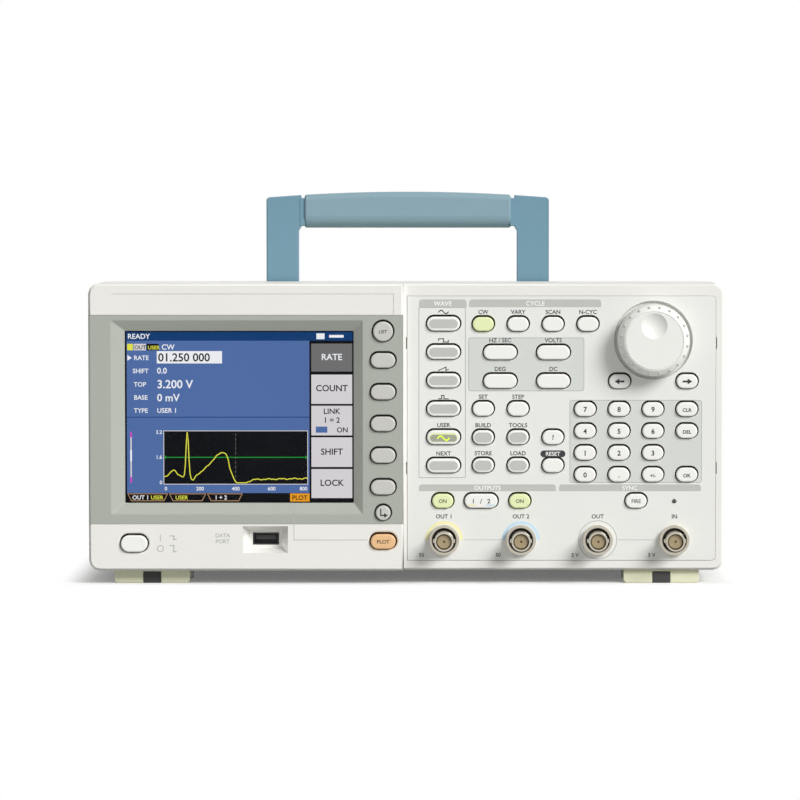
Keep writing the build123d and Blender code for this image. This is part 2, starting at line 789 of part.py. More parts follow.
def chassis():
    """Folded sheet chassis: floor, side flanges and the upright wall behind the display."""
    left, right = -half_width + chassis_inset, half_width - chassis_inset
    top = panel_top - ledge_width
    back = rear_panel_y - sheet
    tray = box_of(left, right, chassis_y, back, chassis_floor, chassis_floor + sheet)
    tray += box_of(left, right, chassis_y, chassis_y + sheet, chassis_floor, top)
    for x in (left, right - sheet):
        tray += box_of(x, x + sheet, chassis_y, back, chassis_floor, chassis_floor + flange_height)
    tray -= slab(rect_at(usb_x, usb_z, grow(usb_shell, 1)), chassis_y, chassis_y + sheet)
    for x, z in board_posts():
        tray += slab(rect_at(x, z, (post_size, post_size)), board_back, chassis_y)
    for x, y in main_posts():
        tray += Pos(x, y, chassis_floor + sheet + standoff / 2) * Box(post_size, post_size, standoff)
    return tray


def board_posts():
    """Posts that carry the front board on the chassis wall."""
    left, right = screen_right + screen_rim + post_inset, panel_right - ledge_width - post_inset
    return [(x, z) for x in (left, right) for z in (bnc_z + board_low + post_inset, panel_top - ledge_width - post_inset)]


def main_area():
    """Left, right, front and back of the main board."""
    right = half_width - 6 * wall
    front = chassis_y + 6 * sheet
    return right - main_board_size[0], right, front, front + main_board_size[1]


def main_posts():
    """Posts under the corners of the main board."""
    left, right, front, back = main_area()
    inset = post_size
    return [(x, y) for x in (left + inset, right - inset) for y in (front + inset, back - inset)]


def main_board():
    """Main board on its posts, with the shielded output stages."""
    left, right, front, back = main_area()
    low = chassis_floor + sheet + standoff
    board = box_of(left, right, front, back, low, low + board_thickness)
    top = low + board_thickness
    width, depth, height = stage_size
    for i in range(2):
        x = left + stage_size[2] + i * stage_pitch
        y = front + stage_size[2]
        board += box_of(x, x + width, y, y + depth, top, top + height)
    return board


def power_supply():
    """Power supply module on the chassis floor."""
    width, depth, height = supply_size
    left, _, front, _ = main_area()
    x = left - 6 * wall - width
    floor = chassis_floor + sheet
    return box_of(x, x + width, front, front + depth, floor, floor + height)


def handle_arms():
    """Handle core: two arms on their pivot pins, corner blocks, and the bar between them."""
    inner = handle_half_width - handle_arm_width
    radius = handle_arm_thickness / 2
    core = None
    for side in (-1, 1):
        x0, x1 = sorted((side * inner, side * handle_half_width))
        arm = box_of(x0, x1, handle_y - radius, handle_y + radius, pivot_z, handle_top)
        arm = chamfer(arm.edges().filter_by(Axis.Z), edge_bevel)
        arm += Pos((x0 + x1) / 2, handle_y, pivot_z) * across(radius, x1 - x0)
        pin = Pos(side * (handle_half_width + handle_pin_length / 2), handle_y, pivot_z)
        arm += pin * Rot(0, 90, 0) * Cylinder(handle_pin_radius, handle_pin_length)
        core = arm if core is None else core + arm
    low = handle_top - grip_height / 2 - bar_height / 2
    bar = box_of(-inner, inner, handle_y - bar_thickness / 2, handle_y + bar_thickness / 2, low, low + bar_height)
    return core + bar


def handle_grip():
    """Moulded grip over the bar, with a gently arched top."""
    half = handle_half_width - handle_arm_width - grip_neck
    low = handle_top - grip_height
    face = make_face(
        Polyline((-half, handle_top), (-half, low), (half, low), (half, handle_top))
        + ThreePointArc((half, handle_top), (0, handle_top + grip_arch), (-half, handle_top))
    )
    grip = slab(face, handle_y - grip_thickness / 2, handle_y + grip_thickness / 2)
    long_edges = [e for e in grip.edges() if abs(e.center().Y - handle_y) > 1 and abs(e.center().X) < 1]
    grip = chamfer(long_edges, grip_round)
    bar_low = handle_top - grip_height / 2 - bar_height / 2
    return grip - box_of(-half, half, handle_y - bar_thickness / 2, handle_y + bar_thickness / 2,
                         bar_low, bar_low + bar_height)


def pad_slot(x):
    """The space for the rubber pad in the tip of a folding foot."""
    middle = x + foot_width / 2
    return box_of(middle - pad_width / 2, middle + pad_width / 2, foot_front_y, foot_front_y + pad_depth,
                  0, foot_height - foot_clearance - pad_top_gap)


def flip_foot(x):
    """Folding foot: a block with a round hinge end between its lugs, and its pin."""
    radius = (foot_height - foot_clearance) / 2
    thick = 2 * radius
    block = box_of(x, x + foot_width, foot_front_y, foot_pivot_y - radius - foot_clearance, 0, thick)
    block = chamfer(block.edges().filter_by(Axis.Y).group_by(Axis.Z)[0], edge_bevel)
    neck_left, neck_right = x + lug_width + foot_clearance, x + foot_width - lug_width - foot_clearance
    block += box_of(neck_left, neck_right, foot_pivot_y - 2 * radius, foot_pivot_y, 0, thick)
    middle = Pos(x + foot_width / 2, foot_pivot_y, radius)
    block += middle * across(radius, neck_right - neck_left)
    block += middle * Rot(0, 90, 0) * Cylinder(foot_pin_radius, foot_width)
    return block - pad_slot(x)


def flip_pad(x):
    """Rubber pad in the tip of a folding foot."""
    return pad_slot(x)


def rear_feet():
    """Two rear feet under the case and four bumpers on its back corners."""
    made = []
    for x in foot_places().values():
        made.append(box_of(x, x + foot_width, rear_foot_y - rear_foot_length, rear_foot_y, 0, foot_height + wall))
    for sx in (-1, 1):
        for z in (body_bottom + case_drop + bumper_inset, body_top - case_drop - bumper_inset - bumper_size):
            x = sx * (half_width - case_drop - bumper_inset - bumper_size / 2)
            bumper = slab(rect_at(x, z + bumper_size / 2, (bumper_size, bumper_size)), case_back, rear_tip)
            made.append(chamfer(bumper.edges() - bumper.faces().sort_by(Axis.Y)[0].edges(), edge_bevel))
    cut = case_solid(0)
    return Compound(children=[foot - cut for foot in made[:2]] + made[2:])


def parts():
    """Every node of the instrument by name."""
    made = {
        "front_frame": front_frame(),
        "display_surround": display_surround(),
        "control_panel": control_panel(),
        "display_window": display_window(),
        "lcd_module": lcd_module(),
        "key_mat": key_mat(),
        "front_board": front_board(),
        "io_sockets": io_sockets(),
        "chassis": chassis(),
        "main_board": main_board(),
        "power_supply": power_supply(),
        "power_inlet": power_inlet(),
        "cooling_fan": cooling_fan(),
        "fan_rotor": fan_rotor(),
        "rear_case": rear_case(),
        "rear_panel": rear_panel(),
        "bnc_connectors": bnc_connectors(),
        "bnc_insulators": bnc_insulators(),
        "rear_feet": rear_feet(),
        "handle_arms": handle_arms(),
        "handle_grip": handle_grip(),
        "tuning_knob": tuning_knob(),
    }
    for side, x in foot_places().items():
        made[f"flip_foot_{side}"] = flip_foot(x)
        made[f"flip_pad_{side}"] = flip_pad(x)
    for name, x, z, size in display_keys():
        made[name] = key_cap(x, z, size, display_y, surround_back)
    for name, x, z, size in strip_keys():
        made[name] = key_cap(x, z, size, display_y, display_y + front_wall)
    for name, x, z, size in panel_keys():
        made[name] = key_cap(x, z, size, panel_y, panel_back)
    made["menu_keys"] = Compound(
        children=[key_cap(x, z, small_key, panel_y, panel_back) for x, z in menu_places()])
    made["numeric_keys"] = Compound(
        children=[key_cap(x, z, small_key, panel_y, panel_back) for x, z in keypad_places()])
    return made


os.makedirs("parts", exist_ok=True)
for node, shape in parts().items():
    export_step(shape, f"parts/{node}.step")
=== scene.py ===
import math

import bmesh
import bpy
from mathutils import Matrix, Vector
from mathutils.geometry import tessellate_polygon


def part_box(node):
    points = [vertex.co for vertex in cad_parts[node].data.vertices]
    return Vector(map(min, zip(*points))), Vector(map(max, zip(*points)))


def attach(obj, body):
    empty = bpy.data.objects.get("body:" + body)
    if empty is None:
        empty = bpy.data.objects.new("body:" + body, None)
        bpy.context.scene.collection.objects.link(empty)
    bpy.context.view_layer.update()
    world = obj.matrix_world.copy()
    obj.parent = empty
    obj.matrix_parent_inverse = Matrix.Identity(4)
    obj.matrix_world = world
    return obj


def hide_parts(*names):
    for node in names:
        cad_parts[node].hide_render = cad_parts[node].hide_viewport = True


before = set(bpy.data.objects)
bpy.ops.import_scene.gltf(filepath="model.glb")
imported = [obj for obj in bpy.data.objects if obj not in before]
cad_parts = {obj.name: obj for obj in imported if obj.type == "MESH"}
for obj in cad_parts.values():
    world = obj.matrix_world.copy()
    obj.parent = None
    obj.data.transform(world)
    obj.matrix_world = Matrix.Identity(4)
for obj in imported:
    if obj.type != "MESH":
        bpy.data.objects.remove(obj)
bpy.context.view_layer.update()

# ---------------------------------------------------------------------------------------------
# Chassis, circuit boards and power supply
# Folded zinc-plated sheet carries three boards of solder-masked laminate and a boxed supply.
# They stay as the CAD has them; the finishes below are seen through the vents and the sockets.


def linear(code):
    """A hex colour as the screen shows it, turned to the linear values that shaders use."""
    parts = [int(code[i:i + 2], 16) / 255 for i in (0, 2, 4)]
    return [p / 12.92 if p <= 0.04045 else ((p + 0.055) / 1.055) ** 2.4 for p in parts] + [1.0]


def add(tree, kind, inputs=None, **settings):
    """Adds one node: its settings by name, and its inputs by name or number, as values or links."""
    made = tree.nodes.new(kind)
    for key, value in settings.items():
        setattr(made, key, value)
    for key, value in (inputs or {}).items():
        if isinstance(value, bpy.types.NodeSocket):
            tree.links.new(value, made.inputs[key])
        else:
            made.inputs[key].default_value = value
    return made


def blank(name):
    """An empty material, its node tree, and the object's own coordinates in that tree."""
    made = bpy.data.materials.new(name)
    made.use_nodes = True
    tree = made.node_tree
    tree.nodes.clear()
    return made, tree, add(tree, "ShaderNodeTexCoord").outputs["Object"]


def drifting(tree, colour, factor, less, more):
    """A colour that drifts with a factor, by these shares darker and lighter."""
    base = linear(colour)[:3]
    low = [c * (1 - less) for c in base] + [1.0]
    high = [min(1.0, c * (1 + more)) for c in base] + [1.0]
    return add(tree, "ShaderNodeMix", {0: factor, 6: low, 7: high}, data_type="RGBA").outputs[2]


def finish(name, colour, rough, grain, depth, drift=0.03, metal=0.0, glow=0.0, stretch=(1, 1, 1), **more):
    """A finish: its colour drifts a little over some centimetres, as does its roughness, and its
    grain, in millimetres, gives the bump. stretch draws the grain out along an axis."""
    made, tree, place = blank(name)
    broad = add(tree, "ShaderNodeTexNoise", {"Vector": place, "Scale": 30.0, "Detail": 3.0}).outputs["Fac"]
    tint = drifting(tree, colour, broad, drift, drift)
    shine = add(tree, "ShaderNodeMapRange", {
        "Value": broad, "From Min": 0.3, "From Max": 0.7,
        "To Min": rough - 0.04, "To Max": rough + 0.04}).outputs["Result"]
    drawn = add(tree, "ShaderNodeMapping", {"Vector": place, "Scale": stretch}).outputs["Vector"]
    fine = add(tree, "ShaderNodeTexNoise", {"Vector": drawn, "Scale": 1000.0 / grain, "Detail": 2.0})
    bump = add(tree, "ShaderNodeBump", {
        "Height": fine.outputs["Fac"], "Distance": depth / 1000, "Strength": 1.0})
    shader = add(tree, "ShaderNodeBsdfPrincipled", {
        "Base Color": tint, "Roughness": shine, "Normal": bump.outputs["Normal"],
        "Metallic": metal, **more})
    if glow:
        tree.links.new(tint, shader.inputs["Emission Color"])
        shader.inputs["Emission Strength"].default_value = glow
    add(tree, "ShaderNodeOutputMaterial", {"Surface": shader.outputs["BSDF"]})
    return made


def coat(node_name, material):
    """Gives a CAD node that stays its real finish."""
    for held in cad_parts[node_name].material_slots:
        held.material = material


# Zinc-plated steel sheet, rolled along its length: a cool grey with long faint streaks.
zinc = finish("zinc_plated_sheet", "A9ACAE", 0.38, 0.8, 0.01, 0.06, 1.0, stretch=(0.1, 1, 1))
# Glass-fibre laminate under green solder mask: a waxy sheen over the weave of the cloth.
solder_mask = finish("green_solder_mask", "1F5A34", 0.35, 0.9, 0.02, 0.08, **{"Coat Weight": 0.4})
# Milled aluminium can of the supply, bead-blasted: an even, dull sparkle.
blasted = finish("blasted_aluminium", "B4B6B8", 0.5, 0.5, 0.02, 0.04, 1.0)
# Black display module body, glass-filled polyester: slightly rough and dark.
polyester = finish("black_polyester", "16181A", 0.5, 0.5, 0.02, 0.05)
# Silicone key mat: soft grey with a velvet sheen.
silicone = finish("grey_silicone", "5A5A5C", 0.7, 0.6, 0.02, 0.04, **{"Sheen Weight": 0.3})

coat("chassis", zinc)
coat("front_board", solder_mask)
coat("main_board", solder_mask)
coat("power_supply", blasted)
coat("lcd_module", polyester)
coat("key_mat", silicone)

# ---------------------------------------------------------------------------------------------
# Front frame and rear case
# Two injection-moulded ABS shells that meet at a seam behind the front. Their edges are eased,
# as the mould's are; the rear one tapers to the back and carries the vents and handle pocket.


def span(node_name):
    """A CAD node's box in millimetres: left, right, front, back, low, high."""
    low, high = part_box(node_name)
    return [1000 * v for v in (low.x, high.x, low.y, high.y, low.z, high.z)]


def put_in(name, data):
    """A new object in the scene, at the origin."""
    holder = bpy.data.objects.new(name, data)
    bpy.context.scene.collection.objects.link(holder)
    return holder


def mesh_from(holder):
    """The mesh that an object makes with its modifiers, or from its text."""
    bpy.context.view_layer.update()
    return bpy.data.meshes.new_from_object(holder.evaluated_get(bpy.context.evaluated_depsgraph_get()))


def new_piece(name, mesh, crease=35):
    """A new object at the origin for a mesh, smooth-shaded up to an angle in degrees, with its
    front and back faces flat."""
    mesh.shade_smooth()
    mesh.set_sharp_from_angle(angle=math.radians(crease))
    for polygon in mesh.polygons:
        if abs(polygon.normal.y) > 0.99999:
            polygon.use_smooth = False
    return put_in(name, mesh)


def formed(name, form, crease=35):
    """The piece made from a form, which this uses up."""
    mesh = bpy.data.meshes.new(name)
    form.to_mesh(mesh)
    form.free()
    return new_piece(name, mesh, crease)


def ease(piece, width, steps=2):
    """Rounds the sharp edges of a piece by a width in millimetres."""
    bevel = piece.modifiers.new("eased edges", "BEVEL")
    bevel.width = width / 1000
    bevel.segments = steps
    bevel.limit_method = "ANGLE"
    bevel.angle_limit = math.radians(40)
    bevel.use_clamp_overlap = False
    bevel.harden_normals = True
    return piece


def even(piece):
    """Lets the broad faces of a piece shade flat and the narrow ones between them shade round."""
    weighted = piece.modifiers.new("even shading", "WEIGHTED_NORMAL")
    weighted.weight = 100
    weighted.keep_sharp = True
    return piece


def settle(piece, material, body, finish_slot, *stands_for):
    """Gives a finished piece its material and the body it moves with, and hides the CAD nodes it stands
    for. finish_slot is not used.
    """
    piece.data.materials.clear()
    piece.data.materials.append(material)
    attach(piece, body)
    if stands_for:
        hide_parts(*stands_for)
    return piece


def softened(name, node_name, width=0.0, steps=2):
    """A copy of a CAD node with its loose triangles joined and, with a width, its edges eased."""
    form = bmesh.new()
    form.from_mesh(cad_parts[node_name].data)
    bmesh.ops.remove_doubles(form, verts=form.verts, dist=1e-6)
    bmesh.ops.dissolve_limit(form, angle_limit=math.radians(1), verts=form.verts, edges=form.edges)
    bmesh.ops.recalc_face_normals(form, faces=form.faces)
    piece = formed(name, form, 50)
    return even(ease(piece, width, steps)) if width else piece


def rounded(left, right, low, high, radius, steps=6):
    """A rounded rectangle in X and Z, as a loop of points."""
    loop = []
    corners = [(right - radius, high - radius, 0), (left + radius, high - radius, 1),
               (left + radius, low + radius, 2), (right - radius, low + radius, 3)]
    for x, z, quarter in corners:
        for i in range(steps + 1):
            turn = math.pi / 2 * (quarter + i / steps)
            loop.append((x + radius * math.cos(turn), z + radius * math.sin(turn)))
    return loop


def box_loop(left, right, low, high):
    """A plain rectangle in X and Z, as a loop of points."""
    return [(right, high), (left, high), (left, low), (right, low)]


def ring(x, z, radius, steps=48):
    """A circle in X and Z, as a loop of points."""
    return [(x + radius * math.cos(2 * math.pi * i / steps), z + radius * math.sin(2 * math.pi * i / steps))
            for i in range(steps)]


def cone_rings(x, z, profile, steps=72):
    """The outlines of a turned form round an axis along Y, from pairs of radius and y."""
    return [(y, ring(x, z, radius, steps)) for radius, y in profile]


def obround(x, z, width, height, steps=10):
    """A key's outline: straight along the top and bottom, round at both ends."""
    if width - height < 0.05:
        return ring(x, z, height / 2, 4 * steps)
    return rounded(x - width / 2, x + width / 2, z - height / 2, z + height / 2, height / 2 - 0.001, steps)


def through(loop, front, back):
    """An outline that goes straight through, from front to back."""
    return [(front, loop), (back, loop)]


def lipped(outline, front, back, lip, way=1):
    """An outline from front to back whose front edge is rounded. outline(by) gives it grown by that
    much; way is 1 for an opening, whose mouth is wider, and -1 for the outside of a plate."""
    turns = [math.pi / 2 * i / 4 for i in range(5)]
    mouth = [(front + lip * (1 - math.cos(a)), outline(way * lip * (1 - math.sin(a)))) for a in turns]
    return mouth + [(back, outline(0))]


def corners_of(form, loops):
    """The form's corners for loops of points in millimetres."""
    return [[form.verts.new((x / 1000, y / 1000, z / 1000)) for x, y, z in loop] for loop in loops]


def wall_in(form, rings):
    """Walls between each ring of corners and the next."""
    for near, far in zip(rings, rings[1:]):
        for i in range(len(near)):
            j = (i + 1) % len(near)
            form.faces.new((near[i], near[j], far[j], far[i]))


def fill(form, rings):
    """Fills the flat area inside the first ring and outside the others."""
    corners = [v for loop in rings for v in loop]
    outline = [[Vector((v.co.x * 1000, v.co.z * 1000, 0)) for v in loop] for loop in rings]
    for a, b, c in tessellate_polygon(outline):
        form.faces.new((corners[a], corners[b], corners[c]))


def moulding(name, edges, pits=(), crease=35):
    """A solid made of outlines. Each edge is a chain of (y, loop), from the front face to the back
    face: the first is the outside, the others are openings. A pit's chain ends in a floor."""
    form = bmesh.new()
    faces = [[], []]
    for chain, open_ended in [(e, True) for e in edges] + [(p, False) for p in pits]:
        rings = corners_of(form, [[(x, y, z) for x, z in loop] for y, loop in chain])
        wall_in(form, rings)
        faces[0].append(rings[0])
        if open_ended:
            faces[1].append(rings[-1])
        else:
            form.faces.new(rings[-1])
    for rings in faces:
        fill(form, rings)
    bmesh.ops.recalc_face_normals(form, faces=form.faces)
    return formed(name, form, crease)


def key_face(node_name):
    """A key's middle, and the width and height of its cap: its CAD box less the flange behind."""
    left, right, _, _, low, high = span(node_name)
    return (left + right) / 2, (low + high) / 2, right - left - 2.0, high - low - 2.0


gap = 0.7                                   # round each key, in its hole
sag = 0.3                                   # how far the keys sit below the middle of their holes


def round_key(x, z, wide, tall, by, steps=10):
    """A key's outline grown by some millimetres, about the middle of its hole."""
    return obround(x, z + sag, wide + 2 * by, tall + 2 * by, steps)


def key_hole(x, z, wide, tall, front, back, lip=0.3):
    """The hole for a key, with a rounded mouth."""
    return lipped(lambda by: round_key(x, z, wide, tall, gap + by), front, back, lip)


def cut_with(piece, others):
    """The piece less the others, which this uses up."""
    for other in others:
        step = piece.modifiers.new("step", "BOOLEAN")
        step.operation = "DIFFERENCE"
        step.solver = "EXACT"
        step.object = other
    made = mesh_from(piece)
    piece.modifiers.clear()
    piece.data = made
    for other in others:
        bpy.data.objects.remove(other)
    return piece


# ABS with a fine spark-eroded mould texture: warm off-white, satin, no visible gloss. The real
# grain is about 0.15 mm; it is drawn at 0.6 mm so that it shows.
white_abs = finish("white_abs", "E9E8E2", 0.5, 0.6, 0.012, 0.012)
# The rear shell's ABS is a shade darker than the front's. This is painted shade for its top and sides,
# which lie out of the lamp.
rear_abs_painted_shade = finish("rear_white_abs_painted_shade", "E2E1DB", 0.6, 0.6, 0.015, 0.015)

zone_front = span("display_surround")[2]    # face of the raised display zone, and of its surround
zone_wall = zone_front + 4.6
collar = 1.6                                # width of the soft-edged ring round each key of the strip
shell = softened("front_frame_moulding", "front_frame")
strip_keys = ("power_button", "view_button")
outlines = [round_key(*key_face(node_name), gap + collar, 14) for node_name in strip_keys]
cutters = [moulding("cutter", [through(loop, zone_front - 1, zone_wall)]) for loop in outlines]
p_left, p_right, p_front, p_back, p_low, p_high = span("control_panel")
panel_seat = rounded(p_left + 5, p_right + 0.12, p_low - 0.12, p_high + 0.12, 1.9)
cutters.append(moulding("cutter", [through(panel_seat, p_front - 4, p_back)]))
shell = cut_with(shell, cutters)
settle(even(shell), white_abs, "instrument", "case_plastic", "front_frame")
for node_name, loop in zip(strip_keys, outlines):
    hole = key_hole(*key_face(node_name), zone_front, zone_wall, 0.9)
    settle(moulding(f"{node_name}_collar", [through(loop, zone_front, zone_wall), hole]), white_abs,
           "instrument", "case_plastic")
rear_shell = softened("rear_case_moulding", "rear_case", 0.2)
settle(rear_shell, rear_abs_painted_shade, "instrument", "rear_plastic", "rear_case")

# ---------------------------------------------------------------------------------------------
# Grey display surround
# An ABS plate let into the raised left half of the front. Its screen opening slopes in on all
# four sides to the window, and round-ended holes take the keys beside the screen.
beside_screen = ["top_menu_button", *[f"soft_key_{i}" for i in range(1, 6)], "back_button"]
s_left, s_right, s_front, s_back, s_low, s_high = span("display_surround")
w_left, w_right, w_front, _, w_low, w_high = span("display_window")
pocket = 2.0                                # the window's edge lies this far behind the surround
screen = (w_left + pocket, w_right - pocket, w_low + pocket, w_high - pocket)
slope = (7.1, 4.8, 5.8, 5.5)                # of the four sides: left, right, bottom, top
mouth = (screen[0] - slope[0], screen[1] + slope[1], screen[2] - slope[2], screen[3] + slope[3])
plate_back = s_front + 2.4
rim = 2.0                                   # the frame round the window's pocket, behind the plate
window_seat = rounded(w_left, w_right, w_low, w_high, 0.8)
rim_loop = rounded(w_left - rim, w_right + rim, w_low - rim, w_high + rim, 0.8)
screen_loop = rounded(*screen, 0.5)
opening = [(s_front, rounded(*mouth, 0.8)), (w_front, screen_loop), (w_front + 0.2, screen_loop),
           (w_front + 0.2, window_seat), (s_back, window_seat), (s_back, rim_loop), (plate_back, rim_loop)]


def surround_outline(by):
    """The surround's outline, of which only the left edge is rounded."""
    return box_loop(s_left - by, s_right, s_low, s_high)


edges = [lipped(surround_outline, s_front, plate_back, 1.2, -1), opening]
edges += [key_hole(*key_face(node_name), s_front, plate_back) for node_name in beside_screen]

# The same ABS in a greenish mid grey, moulded with the case's texture.
grey_abs = finish("grey_abs", "A8ABA1", 0.5, 0.6, 0.012, 0.015)
settle(moulding("display_surround_plate", edges, crease=24), grey_abs, "instrument", "surround_plastic",
       "display_surround")

# ---------------------------------------------------------------------------------------------
# Display window and picture
# A hard-coated acrylic window in front of a lit colour display. The picture shows one channel's
# settings, a plot of its waveform and five soft labels: plain words and made-up readings.


def thicken(form, depth):
    """Gives flat shapes that face the front a thickness to the back, and closes them."""
    bmesh.ops.recalc_face_normals(form, faces=form.faces)
    for face in form.faces:
        if face.normal.y > 0:
            face.normal_flip()
    back = bmesh.ops.extrude_face_region(form, geom=list(form.faces), use_keep_orig=True)
    moved = [v for v in back["geom"] if isinstance(v, bmesh.types.BMVert)]
    bmesh.ops.translate(form, verts=moved, vec=(0, depth / 1000, 0))
    bmesh.ops.recalc_face_normals(form, faces=form.faces)


def flat(name, shapes, face, proud=0.03):
    """Thin printed shapes on a face at y: each shape is a list of loops, its edge and its holes."""
    form = bmesh.new()
    for loops in shapes:
        fill(form, corners_of(form, [[(x, face - proud, z) for x, z in loop] for loop in loops]))
    bmesh.ops.remove_doubles(form, verts=form.verts, dist=1e-8)
    thicken(form, proud)
    return formed(name, form)


capital = 0.7                               # a capital's height as a share of the font's size


def words(name, lines, face, proud=0.03, bold=0.022):
    """Lettering on a face at y: each line is its text, its x, base z, the height of its capitals,
    and where its x is: LEFT, CENTER or RIGHT. bold widens its strokes, as a share of the height."""
    form = bmesh.new()
    for text, x, z, tall, side in lines:
        data = bpy.data.curves.new("line", "FONT")
        data.body = text
        data.align_x = side
        data.size = tall / capital
        data.offset = bold * tall
        data.resolution_u = 3
        holder = put_in("line", data)
        drawn = mesh_from(holder)
        place = Matrix.Translation((x / 1000, (face - proud) / 1000, z / 1000))
        drawn.transform(place @ Matrix.Rotation(math.pi / 2, 4, "X") @ Matrix.Scale(0.001, 4))
        form.from_mesh(drawn)
        bpy.data.objects.remove(holder)
        bpy.data.curves.remove(data)
        bpy.data.meshes.remove(drawn)
    bmesh.ops.remove_doubles(form, verts=form.verts, dist=1e-7)
    thicken(form, proud)
    return formed(name, form)


def stroke(points, width):
    """A line of some width through points in X and Z, as a loop."""
    ahead, behind = [], []
    for i, (x, z) in enumerate(points):
        x0, z0 = points[max(i - 1, 0)]
        x1, z1 = points[min(i + 1, len(points) - 1)]
        long = math.hypot(x1 - x0, z1 - z0) or 1.0
        side_x, side_z = -(z1 - z0) / long * width / 2, (x1 - x0) / long * width / 2
        ahead.append((x + side_x, z + side_z))
        behind.append((x - side_x, z - side_z))
    return ahead + behind[::-1]


def ribbon(points, width):
    """A line of some width through points in X and Z, in one quad for each of its runs."""
    sides = stroke(points, width)
    return [[[sides[i], sides[i + 1], sides[-2 - i], sides[-1 - i]]] for i in range(len(points) - 1)]


# Acrylic with an anti-reflection coat: all but unseen, with a faint dark film where hands wiped it.
acrylic, sheet, sheet_place = blank("coated_acrylic")
wiped = add(sheet, "ShaderNodeTexNoise", {
    "Vector": sheet_place, "Scale": 25.0, "Detail": 4.0}).outputs["Fac"]
film = add(sheet, "ShaderNodeMapRange", {"Value": wiped, "To Min": 0.03, "To Max": 0.07}).outputs["Result"]
haze = add(sheet, "ShaderNodeMapRange", {"Value": wiped, "To Min": 0.1, "To Max": 0.25}).outputs["Result"]
clear = add(sheet, "ShaderNodeBsdfPrincipled", {
    "Base Color": linear("20262A"), "Roughness": haze, "IOR": 1.49, "Alpha": film})
add(sheet, "ShaderNodeOutputMaterial", {"Surface": clear.outputs["BSDF"]})

window_loop = rounded(w_left + 0.1, w_right - 0.1, w_low + 0.1, w_high - 0.1, 0.7)
window = moulding("display_window_sheet", [through(window_loop, w_front + 0.2, w_front + 0.6)])
settle(window, acrylic, "instrument", "window", "display_window")

display_face = span("lcd_module")[2]        # the picture's ground lies on the display module
s_x, s_z = screen[0], screen[3]             # the picture is set out from its top left corner


def area(u0, u1, v0, v1):
    """A rectangle of the picture, in millimetres across and down from its top left corner."""
    return [box_loop(s_x + u0, s_x + u1, s_z - v1, s_z - v0)]


def glowing(name, colour):
    """One colour of the lit display: nearly black in itself, a little uneven in its backlight."""
    made, tree, place = blank(name)
    cloud = add(tree, "ShaderNodeTexNoise", {"Vector": place, "Scale": 18.0, "Detail": 1.0}).outputs["Fac"]
    shader = add(tree, "ShaderNodeBsdfPrincipled", {
        "Base Color": linear("040405"), "Roughness": 0.4, "Specular IOR Level": 0.04,
        "Emission Color": drifting(tree, colour, cloud, 0.04, 0.03), "Emission Strength": 1.0})
    add(tree, "ShaderNodeOutputMaterial", {"Surface": shader.outputs["BSDF"]})
    return made


layer_step = 0.035                          # each layer of the picture lies this far ahead of the last


def shown(name, material, shapes, layer):
    """Shapes of the picture, in one of its layers."""
    piece = flat(name, shapes, display_face - layer_step * layer, 0.03)
    settle(piece, material, "instrument", "display_module")


def shown_words(name, material, lines, layer):
    """Words of the picture: text, across, down to the base line, height of capitals, side."""
    placed = [(text, s_x + u, s_z - v, size, side) for text, u, v, size, side in lines]
    piece = words(name, placed, display_face - layer_step * layer, 0.03)
    settle(piece, material, "instrument", "display_module")


night = glowing("display_black", "07080C")
navy = glowing("display_navy", "0B3B72")
blue = glowing("display_blue", "516FA9")
pale = glowing("display_pale_grey", "DCD8DC")
mid = glowing("display_mid_grey", "727272")
white = glowing("display_white", "F4F6FA")
yellow = glowing("display_yellow", "E8E64C")
green = glowing("display_green", "1FA03A")
orange = glowing("display_orange", "F0A022")
magenta = glowing("display_magenta", "D04CC8")
tan = glowing("display_tan", "B08A6A")

screen_wide, screen_tall = screen[1] - screen[0], screen[3] - screen[2]
plot = (20.2, 94.6, 52.2, 79.6)             # left, right, top and bottom of the plot
frame_line = 0.35
plot_edge = area(plot[0] - frame_line, plot[1] + frame_line, plot[2] - frame_line, plot[3] + frame_line)
label_left, label_right, label_middle = 96.7, 117.9, 107.3
labels = [area(label_left, label_right, top, foot) for top, foot in (
    (6.7, 21.2), (22.8, 38.0), (39.0, 54.4), (55.4, 70.8), (71.9, 87.0))]
# The picture's blocks of colour: name, colour, layer and shapes.
blocks = (
    ("ground", night, 0, [area(-1.5, screen_wide + 1.5, -1.5, screen_tall + 1.5)]),
    ("field", blue, 1, [area(0.9, 95.7, 5.1, 84.4)]),
    ("title_bar", navy, 2, [area(0.6, screen_wide - 0.6, 0.6, 5.2), area(0.9, 95.7, 44.7, 45.1)]),
    ("plot_ground", night, 3, [area(*plot), area(11.3, 17.6, 6.8, 10.2)]),
    ("frames", pale, 3, [plot_edge + area(*plot), area(4.6, 10.9, 6.8, 10.2)]),
    ("reading_ground", white, 3, [area(16.55, 50.4, 10.6, 17.0)]),
    ("soft_labels", pale, 1, labels[1:]),
    ("chosen_label", mid, 1, labels[:1]),
    ("switch", blue, 2, [area(99.0, 105.0, 49.8, 53.0)]),
    ("square", yellow, 3, [area(1.2, 4.2, 6.8, 10.2)]),
    ("level_bar", pale, 3, [area(2.7, 3.4, 55.4, 62.0), area(2.7, 3.4, 67.9, 76.0)]),
    ("level_ends", magenta, 3, [area(2.6, 3.5, 52.6, 55.4), area(2.6, 3.5, 76.0, 79.1)]),
    ("level_middle", white, 3, [area(2.6, 3.5, 62.0, 67.9)]))
for name, colour, layer, shapes in blocks:
    shown(f"picture_{name}", colour, shapes, layer)

